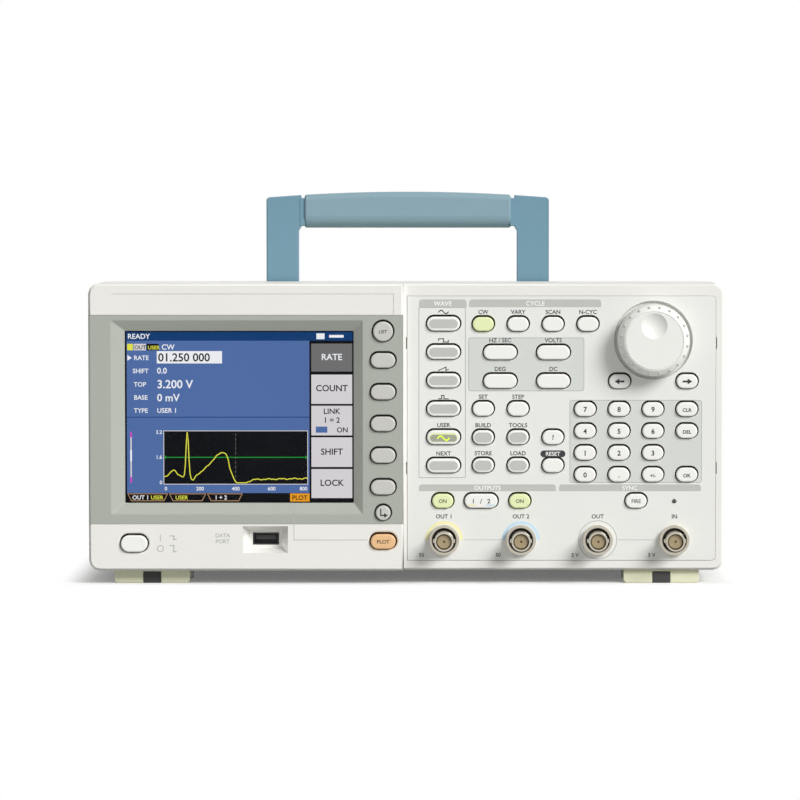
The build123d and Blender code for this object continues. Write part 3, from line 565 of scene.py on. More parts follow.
middle, arrow, thin = 65.8, 1.0, 0.22
near, far = plot[0] + arrow, plot[1] - arrow
line = [(near, -thin), (far, -thin), (far, -arrow), (plot[1], 0), (far, arrow), (far, thin), (near, thin),
        (near, arrow), (plot[0], 0), (near, -arrow)]
shown("picture_middle_line", green, [[[(s_x + u, s_z - middle - v) for u, v in line]]], 4)
shown("picture_centre_line", mid, [area(57.2, 57.5, plot[2] + 1.2 + 2.4 * i, plot[2] + 2.5 + 2.4 * i)
                                   for i in range(11)], 4)

# The waveform: two bumps and a tall spike, then a level stretch with a little noise on it.
trace = []
for i in range(150):
    t = i / 149
    level = 0.13 + 0.14 * math.exp(-((t - 0.065) / 0.03) ** 2)
    level += 0.90 * math.exp(-((t - 0.162) / 0.012) ** 2)
    level += 0.47 * math.exp(-((t - 0.42) / (0.13 if t < 0.42 else 0.045)) ** 2)
    level -= 0.09 * math.exp(-((t - 0.2) / 0.02) ** 2) + 0.10 * math.exp(-((t - 0.54) / 0.05) ** 2)
    level -= 0.05 if t > 0.45 else 0.0
    level += 0.05 * (t - 0.55) if t > 0.55 else 0.0
    level += 0.008 * math.sin(71 * t) + 0.006 * math.sin(173 * t + 1.0)
    height = max(0.02, min(level, 0.985))
    trace.append((s_x + plot[0] + t * (plot[1] - plot[0]), s_z - plot[3] + height * (plot[3] - plot[2])))
shown("picture_waveform", yellow, ribbon(trace, 0.5), 5)


def tab(u0, u1):
    """The outline of a tab under the picture, narrower at its foot."""
    outer = [(u0 + 2.0, 88.6), (u1 - 2.0, 88.6), (u1, 84.6), (u0, 84.6)]
    inner = [(u0 + 2.3, 88.2), (u1 - 2.3, 88.2), (u1 - 0.6, 85.0), (u0 + 0.6, 85.0)]
    return [[(s_x + u, s_z - v) for u, v in loop] for loop in (outer, inner)]


shown("picture_tab_lines", tan, [tab(1.0, 22.2), tab(22.6, 42.0), tab(42.4, 61.0)], 2)
shown("picture_open_tab", orange, [area(85.6, 95.7, 84.6, 88.8)], 2)
pointer = [[(s_x + 1.3, s_z - 12.6), (s_x + 3.6, s_z - 14.1), (s_x + 1.3, s_z - 15.6)]]
shown("picture_marks", white, [pointer, area(99.4, 103.6, 1.4, 4.4), area(106.0, 113.5, 2.2, 3.6)], 4)
white_words = [(text, u, v, size, "LEFT") for text, u, v, size in (
    ("READY", 1.4, 4.2, 2.6), ("CW", 19.0, 9.8, 2.7), ("RATE", 4.6, 15.2, 2.3), ("SHIFT", 4.0, 22.0, 2.3),
    ("TOP", 4.6, 29.0, 2.3), ("BASE", 4.6, 35.8, 2.3), ("TYPE", 4.6, 42.6, 2.3), ("0.0", 16.6, 22.2, 3.0),
    ("3.200 V", 16.6, 29.8, 4.2), ("0 mV", 16.6, 36.6, 3.8), ("USER 1", 16.6, 42.6, 2.4))]
white_words.append(("RATE", label_middle, 15.2, 3.2, "CENTER"))
white_words += [("OUT 1", 3.6, 87.7, 2.1, "LEFT"), ("1 + 2", 46.4, 87.7, 2.1, "LEFT")]
white_words += [(text, 19.2, v, 1.9, "RIGHT") for text, v in (("3.2", 53.6), ("1.6", 66.6), ("0", 79.8))]
white_words.append(("0", 20.4, 83.0, 1.9, "LEFT"))
white_words += [(text, u, 83.0, 1.9, "CENTER") for text, u in (("200", 38.8), ("400", 57.4), ("600", 76.0))]
white_words.append(("800", 94.6, 83.0, 1.9, "RIGHT"))
shown_words("picture_white_words", white, white_words, 5)
dark_words = [("01.250 000", 17.2, 15.9, 4.2, "LEFT"), ("OUT 1", 4.9, 9.6, 2.0, "LEFT")]
dark_words += [(text, label_middle, v, size, "CENTER") for text, v, size in (
    ("COUNT", 31.4, 3.2), ("LINK", 43.2, 2.8), ("1 = 2", 47.8, 2.8), ("SHIFT", 64.4, 3.2),
    ("LOCK", 80.6, 3.2))]
dark_words += [("ON", 112.8, 52.8, 2.6, "CENTER"), ("PLOT", 90.6, 87.9, 2.3, "CENTER")]
shown_words("picture_dark_words", night, dark_words, 5)
yellow_words = [("USER", u, v, size, "LEFT") for u, v, size in (
    (11.9, 9.7, 1.9), (13.2, 87.7, 2.0), (26.0, 87.7, 2.0))]
shown_words("picture_yellow_words", yellow, yellow_words, 5)

# ---------------------------------------------------------------------------------------------
# Control panel and its print
# A separate ABS plate, off-white, with a hole for each key and a shallow dish round the knob.
# The print is screen-printed ink: grey bars and key fields, colour arcs over the outputs.
k_left, k_right, k_front, _, k_low, k_high = span("tuning_knob")
knob_x, knob_z = (k_left + k_right) / 2, (k_low + k_high) / 2
b_left, _, b_front, _, b_low, b_high = span("bnc_connectors")
small = (11.0, 7.4)                         # a menu or number key, and the steps from one to the next
menu_step, digit_step = (18.1, 14.6), (17.6, 11.35)
in_x, in_z = small[0] / 2 + 1.0, small[1] / 2 + 1.0      # from the corner of such a group to its first key
barrel, bore, nut = 5.0, 3.95, 7.8          # radii of a BNC socket
bnc_step = 39.9                             # from one front socket to the next
m_left, _, _, _, _, m_high = span("menu_keys")
d_left, _, _, _, _, d_high = span("numeric_keys")
menu_places = [(m_left + in_x + menu_step[0] * i, m_high - in_z - menu_step[1] * j)
               for j in range(2) for i in range(3)]
digit_places = [(d_left + in_x + digit_step[0] * i, d_high - in_z - digit_step[1] * j)
                for j, count in enumerate((4, 4, 3, 4)) for i in range(count)]
bnc_z = b_low + nut
bnc_xs = [b_left + nut + bnc_step * i for i in range(4)]
panel_keys = [*[f"function_key_{i}" for i in range(1, 7)], *[f"run_mode_key_{i}" for i in range(1, 5)],
              *[f"parameter_key_{i}" for i in range(1, 5)], "shortcut_key_1", "shortcut_key_2",
              "cursor_key_left", "cursor_key_right", "channel_key_1", "channel_select", "channel_key_2",
              "manual_trigger"]


def panel_outline(by):
    """The panel's outline: square on the left, where it meets the display zone, round on the right."""
    loop = rounded(p_left - by, p_right + by, p_low - by, p_high + by, 1.8 + by)
    top = [q for q in loop if q[0] > knob_x and q[1] > knob_z]
    foot = [q for q in loop if q[0] > knob_x and q[1] < bnc_z]
    return top + [(p_left - by, p_high + by), (p_left - by, p_low - by)] + foot


edges = [lipped(panel_outline, p_front, p_back, 0.3, -1)]
holes = [key_face(node_name) for node_name in panel_keys]
holes += [(*place, *small) for place in menu_places + digit_places]
edges += [key_hole(*hole, p_front, p_back) for hole in holes]
edges += [through(ring(x, bnc_z, barrel + 0.1), p_front, p_back) for x in bnc_xs]
# The dish round the knob, from its rounded rim in to the hole for the shaft.
dish = [(20.6, 0.0), (20.45, 0.06), (20.35, 0.2), (20.2, 0.6), (19.9, 1.8), (6.0, 1.8)]
dish_rings = [(radius, p_front + y) for radius, y in dish] + [(6.0, p_back)]
edges.append(cone_rings(knob_x, knob_z, dish_rings))
panel_abs = finish("panel_abs", "E6E7E2", 0.48, 0.6, 0.01, 0.01)
settle(moulding("control_panel_plate", edges), panel_abs, "instrument", "panel_plastic", "control_panel")


def ink(name, colour):
    """Screen-printed ink: a thin matt film, a little uneven where the mesh of the screen laid it."""
    return finish(name, colour, 0.55, 0.5, 0.004, 0.02)


def print_on_panel(piece, colour):
    """Settles a printed shape on the control panel."""
    settle(piece, colour, "instrument", "panel_plastic")


def header(left, right, low, high, radius=1.6):
    """A header bar: round at its top corners and square at its bottom ones."""
    return [[q for q in rounded(left, right, low - 2 * radius, high, radius, 5) if q[1] > low]
            + [(left, low), (right, low)]]


def box_line(left, right, low, high, width, radius=0.6):
    """A box drawn with a line of some width."""
    inner = rounded(left + width, right - width, low + width, high - width, max(radius - width, 0.1), 3)
    return [rounded(left, right, low, high, radius, 3), inner]


def band(x, z, inner, outer, start, end, steps=28):
    """A band round a centre, from one angle to another in degrees."""
    turns = [math.radians(start + (end - start) * i / steps) for i in range(steps + 1)]
    return [[(x + outer * math.cos(a), z + outer * math.sin(a)) for a in turns]
            + [(x + inner * math.cos(a), z + inner * math.sin(a)) for a in reversed(turns)]]


grey_ink = ink("grey_ink", "BDBEB8")
field_ink = ink("pale_field_ink", "D2D5D0")
dark_ink = ink("dark_grey_ink", "404345")
line_ink = ink("line_grey_ink", "A0A3A0")
yellow_ink = ink("pale_yellow_ink", "EEE9B4")
blue_ink = ink("pale_blue_ink", "C2DCEE")

upper_bar, lower_bar = (143.8, 147.8), (48.2, 51.7)
bars = [header(left, right, *upper_bar) for left, right in ((6.5, 31.2), (32.5, 101.0))]
bars += [header(left, right, *lower_bar) for left, right in ((6.4, 77.6), (79.2, 152.9))]
print_on_panel(flat("header_bars", bars, p_front), grey_ink)
keypad = (84.7, 153.3, 52.6, 95.6)
parameters = (32.1, 92.2, 100.2, 128.0)
keypad_holes = [round_key(x, z, *small, gap + 0.3) for x, z in digit_places]
parameter_holes = [round_key(*key_face(f"parameter_key_{i}"), gap + 0.3) for i in range(1, 5)]
fields = [[rounded(*keypad, 1.2), *keypad_holes], [rounded(*parameters, 1.2), *parameter_holes]]
print_on_panel(flat("key_fields", fields, p_front, 0.02), field_ink)
boxes = [box_line(6.3, 30.7, 55.1, upper_bar[0], 0.3), box_line(*parameters, 0.25, 1.2),
         box_line(*keypad, 0.25, 1.2)]
print_on_panel(flat("field_lines", boxes, p_front, 0.035), line_ink)
for number, colour in ((1, yellow_ink), (2, blue_ink)):
    arc = band(bnc_xs[number - 1], bnc_z, 8.2, 9.8, 0, 180)
    print_on_panel(flat(f"output_arc_{number}", [arc], p_front), colour)
circle = [ring(bnc_xs[2], bnc_z, 10.1), ring(bnc_xs[2], bnc_z, 9.8)]
joins = [[box_loop(bnc_xs[i] + 10.4, bnc_xs[i + 1] - 10.4, bnc_z - 0.12, bnc_z + 0.12)] for i in (0, 2)]
print_on_panel(flat("output_circle", [circle] + joins, p_front), line_ink)

headings = [("WAVE", 18.8, 144.6, 2.3, "CENTER"), ("CYCLE", 66.8, 144.6, 2.3, "CENTER"),
            ("OUTPUTS", 42.0, 48.8, 2.2, "CENTER"), ("SYNC", 116.0, 48.8, 2.2, "CENTER")]
white_ink = ink("white_ink", "F4F4F0")
print_on_panel(words("panel_headings", headings, p_front, 0.06), white_ink)
legends = []
for x, above, beside in zip(bnc_xs, ("OUT 1", "OUT 2", "OUT", "IN"), ("50", "50", "5 V", "5 V")):
    legends += [(above, x, bnc_z + 11.2, 2.1, "CENTER"), (beside, x - 11.8, bnc_z - 8.8, 1.9, "CENTER")]
named = {"run_mode_key": ("CW", "VARY", "SCAN", "N-CYC"), "shortcut_key": ("SET", "STEP"),
         "parameter_key": ("HZ / SEC", "VOLTS", "DEG", "DC"),
         "function_key": ("", "", "", "", "USER", "NEXT")}
for row, texts in named.items():
    for number, text in enumerate(texts, 1):
        x, z, _, tall = key_face(f"{row}_{number}")
        if text:
            legends.append((text, x, z + tall / 2 + 1.6, 2.1, "CENTER"))
for (x, z), text in zip(menu_places, ("BUILD", "TOOLS", "", "STORE", "LOAD", "")):
    if text:
        legends.append((text, x, z + small[1] / 2 + 1.6, 2.1, "CENTER"))
print_on_panel(words("panel_legends", legends, p_front, 0.035, 0.03), dark_ink)
x, z = menu_places[5]
black_ink = ink("black_ink", "26282A")
print_on_panel(flat("reset_label_ground", [[obround(x, z + 6.0, 13.0, 3.6)]], p_front), black_ink)
print_on_panel(words("reset_label", [("RESET", x, z + 5.05, 2.0, "CENTER")], p_front, 0.06), white_ink)


def squared(points, width):
    """A line with square corners, one loop for each of its runs."""
    loops = []
    for (x0, z0), (x1, z1) in zip(points, points[1:]):
        long = math.hypot(x1 - x0, z1 - z0)
        dx, dz = (x1 - x0) / long * width / 2, (z1 - z0) / long * width / 2
        loops.append([stroke([(x0 - dx, z0 - dz), (x1 + dx, z1 + dz)], width)])
    return loops


# Icons over the function keys: a sine, a square wave, a ramp and a pulse.
waves = [[(i / 16, math.sin(math.pi * i / 8)) for i in range(17)],
         [(0, 0), (0, 1), (0.5, 1), (0.5, -1), (1, -1), (1, 0)],
         [(0, -1), (0.75, 1), (0.75, -1), (1, -0.4)],
         [(0, -1), (0.3, -1), (0.3, 1), (0.55, 1), (0.55, -1), (1, -1)]]
icons = []
for number, points in enumerate(waves, 1):
    x, z, _, tall = key_face(f"function_key_{number}")
    placed = [(x + 5.0 * (u - 0.5), z + tall / 2 + 2.4 + 0.85 * v) for u, v in points]
    icons += squared(placed, 0.5)
print_on_panel(flat("function_icons", icons, p_front), dark_ink)

# ---------------------------------------------------------------------------------------------
# Keys
# Moulded caps with round ends, each held behind its panel by a flange. Some carry a grey inlay
# or a legend; the chosen function, run mode and both outputs are lit from behind.


def tree_of(name, made, sizes, counts=()):
    """An empty Geometry Nodes tree and its inputs: marks, counts, sizes and a material."""
    tree = bpy.data.node_groups.new(name, "GeometryNodeTree")
    kinds = [("Marks", "Geometry"), *[(label, "Int") for label in counts],
             *[(label, "Float") for label in sizes], ("Material", "Material")]
    for label, kind in kinds:
        tree.interface.new_socket(label, in_out="INPUT", socket_type=f"NodeSocket{kind}")
    tree.interface.new_socket(made, in_out="OUTPUT", socket_type="NodeSocketGeometry")
    return tree, add(tree, "NodeGroupInput").outputs


def finished(tree, made, instances, material):
    """Makes instances real, gives them their material and hands them out."""
    real = add(tree, "GeometryNodeRealizeInstances", {"Geometry": instances}).outputs[0]
    coloured = add(tree, "GeometryNodeSetMaterial", {"Geometry": real, "Material": material})
    add(tree, "NodeGroupOutput", {made: coloured.outputs[0]})


def cap_tree():
    """Geometry Nodes for a solid with round ends, standing forward of each mark."""
    tree, given = tree_of("round_ended_caps", "Caps", ("Width", "Height", "Depth"))
    outline = add(tree, "GeometryNodeCurvePrimitiveQuadrilateral", {
        "Width": given["Width"], "Height": given["Height"]})
    # A hair under half the height, so that the two round ends never meet.
    radius = add(tree, "ShaderNodeMath", {0: given["Height"], 1: 0.4999}, operation="MULTIPLY").outputs[0]
    curve = add(tree, "GeometryNodeFilletCurve", {
        "Curve": outline.outputs[0], "Count": 8, "Radius": radius}, mode="POLY")
    cut = add(tree, "GeometryNodeFillCurve", {"Curve": curve.outputs[0]}, mode="NGONS").outputs[0]
    grown = add(tree, "GeometryNodeExtrudeMesh", {"Mesh": cut, "Offset Scale": given["Depth"]})
    base = add(tree, "GeometryNodeFlipFaces", {"Mesh": cut}).outputs[0]
    cap = add(tree, "GeometryNodeJoinGeometry", {0: grown.outputs[0]})
    tree.links.new(base, cap.inputs[0])
    closed = add(tree, "GeometryNodeMergeByDistance", {"Geometry": cap.outputs[0], "Distance": 0.00005})
    turned = add(tree, "GeometryNodeTransform", {
        "Geometry": closed.outputs[0], "Rotation": (math.pi / 2, 0, 0)})
    placed = add(tree, "GeometryNodeInstanceOnPoints", {
        "Points": given["Marks"], "Instance": turned.outputs[0]})
    finished(tree, "Caps", placed.outputs[0], given["Material"])
    return tree


def grown_from(name, marks, tree, **given):
    """What a tree makes at marks in millimetres, as a plain mesh."""
    mesh = bpy.data.meshes.new("marks")
    mesh.from_pydata([(x / 1000, y / 1000, z / 1000) for x, y, z in marks], [], [])
    holder = put_in("marks", mesh)
    maker = holder.modifiers.new("maker", "NODES")
    maker.node_group = tree
    for item in tree.interface.items_tree:
        if item.item_type == "SOCKET" and item.in_out == "INPUT" and item.name in given:
            maker[item.identifier] = given[item.name]
    made = mesh_from(holder)
    bpy.data.objects.remove(holder)
    made.name = name
    return new_piece(name, made)


caps = cap_tree()
# The flange behind each cap is black silicone. Its black also paints the shade deep in the gap round a key,
# so that the gap reads as a dark line.
flange_black_and_gap_shade = finish("black_key_silicone_and_gap_shade", "1A1B1C", 0.7, 0.6, 0.01, 0.05)
# Key caps: hard ABS, finer in grain than the case, so the tops take a faint sheen. The lit ones
# are translucent polycarbonate over a lamp, glowing faintly and evenly.
white_key = finish("white_key_abs", "F0F0EB", 0.42, 0.5, 0.006, 0.008)
grey_key = finish("grey_key_abs", "C6C6BF", 0.42, 0.5, 0.006, 0.01)
dark_key = finish("inlay_grey", "BFC0BC", 0.45, 0.5, 0.006, 0.015)
shaded_inlay = finish("shaded_inlay", "A0A290", 0.45, 0.5, 0.006, 0.015)
lit_sine = finish("lit_yellow_mark", "E4F04A", 0.4, 0.5, 0.004, 0.03, glow=0.35)
lit_key = finish("lit_green_polycarbonate", "DFE8B2", 0.35, 0.5, 0.004, 0.05, glow=0.06)
lit_orange = finish("lit_orange_polycarbonate", "E6BA88", 0.35, 0.5, 0.004, 0.03, glow=0.03)


def round_ended(name, places, width, height, front, back, material):
    """Solids with round ends from front to back, all alike, at their places in X and Z."""
    given = {"Width": width / 1000, "Height": height / 1000, "Depth": (back - front) / 1000,
             "Material": material}
    return grown_from(name, [(x, back, z) for x, z in places], caps, **given)


def key_cap(node_name, places, width, height, back, material, body_slot):
    """The caps of one key node from their faces back, and the rubber flange behind the panel."""
    front = span(node_name)[2]
    cap = round_ended(f"{node_name}_cap", places, width - 0.1, height - 0.1, front, back + 0.6, material)
    settle(ease(cap, 0.8, 4), material, node_name, body_slot, node_name)
    flange = round_ended(
        f"{node_name}_flange", places, width + 2.0, height + 2.0, back, back + 1.2, flange_black_and_gap_shade)
    settle(flange, flange_black_and_gap_shade, node_name, "silicone")
    return front


def inlay(node_name, places, width, height, front, material, word="inlay"):
    """A coloured insert in the face of a key, a hair proud of it."""
    piece = round_ended(f"{node_name}_{word}", places, width, height, front - 0.06, front + 0.3, material)
    settle(ease(piece, 0.05, 1), material, node_name, "key_grey")


finish_of = {"view_button": (lit_orange, "key_orange")}
finish_of.update({node_name: (grey_key, "key_grey") for node_name in beside_screen})
finish_of.update({node_name: (lit_key, "key_lit") for node_name in (
    "run_mode_key_1", "channel_key_1", "channel_key_2")})
key_groups = ((beside_screen, plate_back), (strip_keys, zone_wall), (panel_keys, p_back))
for node_name, wall_back in [(name, wall_back) for group, wall_back in key_groups for name in group]:
    x, z, wide, tall = key_face(node_name)
    material, body_slot = finish_of.get(node_name, (white_key, "key_white"))
    back = wall_back + 0.2
    front = key_cap(node_name, [(x, z)], wide, tall, back, material, body_slot)
    if node_name.startswith("function_key"):
        chosen = node_name == "function_key_5"
        inlay(node_name, [(x, z)], 14.9, 4.7, front, lit_key if chosen else dark_key)
        if chosen:
            inlay(node_name, [(x, z - 0.4)], 13.9, 3.7, front - 0.06, shaded_inlay, "shaded_inlay")
menu_front = key_cap("menu_keys", menu_places, *small, p_back + 0.2, white_key, "key_white")
digit_front = key_cap("numeric_keys", digit_places, *small, p_back + 0.2, white_key, "key_white")
inlay("menu_keys", [menu_places[i] for i in (0, 1, 3, 4)], 9.0, 5.2, menu_front, dark_key)


def on_key(node_name, piece, colour=dark_ink):
    """Settles a legend printed on a key, which moves with the key."""
    settle(piece, colour, node_name, "key_white")


key_ink = ink("key_black_ink", "222426")
symbols = ("7", "8", "9", "CLR", "4", "5", "6", "DEL", "1", "2", "3", "0", ".", "+/-", "OK")
lines = [(text, x, z - 1.25, 2.5 if len(text) == 1 else 1.8, "CENTER")
         for text, (x, z) in zip(symbols, digit_places)]
on_key("numeric_keys", words("numeric_key_legends", lines, digit_front, 0.03, 0.04), key_ink)
x, z = menu_places[2]
on_key("menu_keys", words("help_key_legend", [("?", x, z - 1.25, 2.6, "CENTER")], menu_front), key_ink)
marked = {"channel_key_1": [("ON", 0, -0.95, 1.9)], "channel_key_2": [("ON", 0, -0.95, 1.9)],
          "manual_trigger": [("FIRE", 0, -0.95, 1.9)], "view_button": [("PLOT", 0, -0.95, 1.9)],
          "top_menu_button": [("LIST", 0, -0.85, 1.7)],
          "channel_select": [("1", -4.0, -1.15, 2.3), ("/", 0, -1.25, 2.4), ("2", 4.0, -1.15, 2.3)]}
for node_name, placed in marked.items():
    x, z, _, _ = key_face(node_name)
    lines = [(text, x + across, z + up, size, "CENTER") for text, across, up, size in placed]
    on_key(node_name, words(f"{node_name}_legend", lines, span(node_name)[2]), key_ink)
x, z, _, _ = key_face("channel_select")
for side, colour in ((-1, yellow_ink), (1, blue_ink)):
    mark_x = x + 4.7 * side
    mark = [rounded(mark_x - 2.3, mark_x + 2.3, z - 2.4, z - 1.7, 0.2, 2)]
    piece = flat(f"channel_select_mark_{side + 2}", [mark], span("channel_select")[2])
    on_key("channel_select", piece, colour)
x, z, _, _ = key_face("function_key_5")
sine = [(x + 6.0 * (u - 0.5), z - 0.4 + 1.1 * v) for u, v in waves[0]]
lit_face = span("function_key_5")[2] - 0.12
on_key("function_key_5", flat("lit_key_sine", squared(sine, 0.6), lit_face), lit_sine)
for node_name, way in (("cursor_key_left", -1), ("cursor_key_right", 1)):
    x, z, _, _ = key_face(node_name)
    half_arrow = [(2.6, 0), (0.2, 1.5), (0.2, 0.5), (-2.4, 0.5)]
    whole_arrow = half_arrow + [(u, -v) for u, v in half_arrow[:0:-1]]
    arrow_loop = [(x + u * way, z + v) for u, v in whole_arrow]
    on_key(node_name, flat(f"{node_name}_arrow", [[arrow_loop]], span(node_name)[2]), key_ink)
x, z, _, _ = key_face("back_button")
hook = [(x - 1.2, z + 2.0), (x - 1.2, z - 1.2), (x + 0.8, z - 1.2)]
tip = [[(x + 2.4, z - 1.2), (x + 0.6, z + 0.1), (x + 0.6, z - 2.5)]]
on_key("back_button", flat("back_arrow", squared(hook, 0.6) + [tip], span("back_button")[2]), key_ink)

# Trigger lamp: a small clear dome beside the trigger key, dark when it is off.
lamp_lens = finish("dark_lamp_lens", "3A3D3C", 0.2, 0.5, 0.002, 0.05, **{"Coat Weight": 0.5})
x, z, _, _ = key_face("manual_trigger")
dome = [(0.7, p_front - 0.5), (1.0, p_front - 0.35), (1.2, p_front), (1.2, p_front + 0.3)]
lamp = moulding("trigger_lamp", [cone_rings(x + 19.9, z - 0.1, dome, 20)])
settle(lamp, lamp_lens, "instrument", "black_plastic")

# Marks on the frame: on and off beside the power key and a label near the USB socket, printed in pale grey,
# and a guide groove whose shade is painted as a pale grey line.
pale_print_and_groove_shade = ink("pale_grey_print_and_groove_shade", "B4B6B0")


def print_on_frame(piece, colour=pale_print_and_groove_shade):
    """Settles a shape on the front frame: print, and a groove's painted shade."""
    settle(piece, colour, "instrument", "case_plastic")


x, z, _, _ = key_face("power_button")
on_x, mark_x = x + 13.6, x + 20.6
marks = squared([(on_x, z + 1.6), (on_x, z + 4.4)], 0.45)
marks.append([ring(on_x, z - 2.6, 1.8, 24), ring(on_x, z - 2.6, 1.35, 24)])
for high, low in ((4.0, 2.2), (-1.0, -4.2)):
    step = [(mark_x - 2.0, z + high), (mark_x, z + high), (mark_x, z + low), (mark_x + 1.2, z + low)]
    marks += squared(step, 0.45)
print_on_frame(flat("power_marks", marks, s_front))
io_left, _, io_front, _, io_low, _ = span("io_sockets")
usb_half = (6.55, 2.9)                      # half the width and the height of the front socket's shell
usb_x, usb_z = io_left + usb_half[0], io_low + usb_half[1]
label_x = usb_x - 22.2
usb_lines = [("DATA", label_x, usb_z + 1.2, 2.0, "CENTER"), ("PORT", label_x, usb_z - 1.9, 2.0, "CENTER")]
print_on_frame(words("usb_label", usb_lines, s_front))
# The guide groove's shade is painted as a pale grey line on the surround and on the frame.
turn_x, turn_z = usb_x + 14.8, usb_z - 0.2  # where the guide line turns towards the view key
upper = squared([(turn_x, s_low + 6.05), (turn_x, s_low - 0.25)], 0.35)
settle(flat("surround_groove_shade", upper, s_front), pale_print_and_groove_shade, "instrument", "surround_plastic")
lower = squared([(turn_x, s_low - 0.85), (turn_x, turn_z), (span("view_button")[0] - 0.7, turn_z)], 0.35)
print_on_frame(flat("frame_line", lower, s_front))

# ---------------------------------------------------------------------------------------------
# Tuning knob
# One turned-looking ABS moulding: a skirt that cones in to a flat face, a round finger dimple off
# its middle, and a ring of small moulded pips to grip. It sits on a 6 mm encoder shaft.
skirt = (k_right - k_left) / 2
knob_back = p_front + 0.5
grip_radius = skirt - 0.55                  # of the knob at its front edge; it widens to the skirt
# From the flat face out: a fine groove, the sloping ring of pips, the rounded edge and the side.
outside = [(14.7, 0.0), (14.85, 0.5), (15.15, 0.5), (15.3, 0.06), (15.5, 0.15), (15.75, 0.35)]
outside += [(grip_radius - 0.45, 2.6), (grip_radius - 0.22, 2.88), (grip_radius - 0.08, 3.25),
            (grip_radius, 3.8)]
profile = [(radius, k_front + y) for radius, y in outside]
profile += [(skirt, p_front - 0.2), (skirt - 0.4, knob_back)]
shares = (1.0, 0.96, 0.9, 0.82, 0.74, 0.65, 0.56, 0.47, 0.38, 0.29, 0.2, 0.1)
dimple = [(6.7 * share, k_front + 2.2 * (1 - share ** 2)) for share in shares]
knob = moulding("tuning_knob_moulding", [cone_rings(knob_x, knob_z, profile)],
                [cone_rings(knob_x, knob_z + 7.7, dimple, 48)], 24)
knob_abs = finish("knob_abs", "ECECE7", 0.42, 0.5, 0.008, 0.01)
settle(knob, knob_abs, "knob", "knob_plastic", "tuning_knob")
shaft_ends = [(3.0, knob_back - 0.2), (3.0, span("tuning_knob")[3])]
shaft = moulding("encoder_shaft", [cone_rings(knob_x, knob_z, shaft_ends, 32)])
# Turned and nickel-plated brass: bright, with fine rings from the lathe.
plated = finish("nickel_plated_brass", "C6C0B2", 0.3, 0.35, 0.006, 0.06, 1.0)
settle(shaft, plated, "knob", "nickel")


def pip_tree():
    """Geometry Nodes for a ring of pips: flat domes set out evenly round an axis along Y."""
    tree, given = tree_of("ring_of_pips", "Pips", ("Ring Radius", "Pip Radius"), ("Count",))
    circle = add(tree, "GeometryNodeMeshCircle", {
        "Vertices": given["Count"], "Radius": given["Ring Radius"]}).outputs[0]
    half_step = add(tree, "ShaderNodeMath", {0: math.pi, 1: given["Count"]}, operation="DIVIDE").outputs[0]
    turn = add(tree, "ShaderNodeCombineXYZ", {0: math.pi / 2, 1: half_step}).outputs[0]
    ring_at = add(tree, "GeometryNodeTransform", {"Geometry": circle, "Rotation": turn}).outputs[0]
    pip = add(tree, "GeometryNodeMeshUVSphere", {
        "Segments": 12, "Rings": 8, "Radius": given["Pip Radius"]}).outputs[0]
    facing = add(tree, "GeometryNodeTransform", {"Geometry": pip, "Scale": (1.0, 0.8, 1.0)}).outputs[0]
    pips = add(tree, "GeometryNodeInstanceOnPoints", {"Points": ring_at, "Instance": facing}).outputs[0]
    real = add(tree, "GeometryNodeRealizeInstances", {"Geometry": pips}).outputs[0]
    placed = add(tree, "GeometryNodeInstanceOnPoints", {"Points": given["Marks"], "Instance": real})
    finished(tree, "Pips", placed.outputs[0], given["Material"])
    return tree


# The pips are moulded in the knob's own ABS. Their grey is painted shade, so that they show on the cone.
pip_painted_shade_grey = finish("pip_shadow_grey", "BDBDB4", 0.5, 0.5, 0.006, 0.02)
given = {"Count": 20, "Ring Radius": 0.0171, "Pip Radius": 0.0008, "Material": pip_painted_shade_grey}
pips = grown_from("knob_pips", [(knob_x, k_front + 1.8, knob_z)], pip_tree(), **given)
settle(pips, pip_painted_shade_grey, "knob", "knob_plastic")

# ---------------------------------------------------------------------------------------------
# BNC sockets
# Turned nickel-plated brass: a washer-faced nut on the panel, a barrel with two lugs for the
# plug's quarter turn, and a tan PTFE insulator with a gold-plated contact down its middle.
reach = p_front - b_front                   # from the panel to the socket's mouth
cup = 6.3                                   # inside of the nut, which stands round the barrel
tan_ptfe = finish("tan_ptfe", "A08F70", 0.5, 0.5, 0.004, 0.04)
gold = finish("gold_plated_contact", "B8923F", 0.3, 0.4, 0.003, 0.04, 1.0)
# A black ring stands in the gap between the barrel and the nut's cup. It is painted shade for that dark
# gap.
shade_ring_black = finish("black_painted_gap_shade", "121212", 0.8, 0.5, 0.01, 0.05)


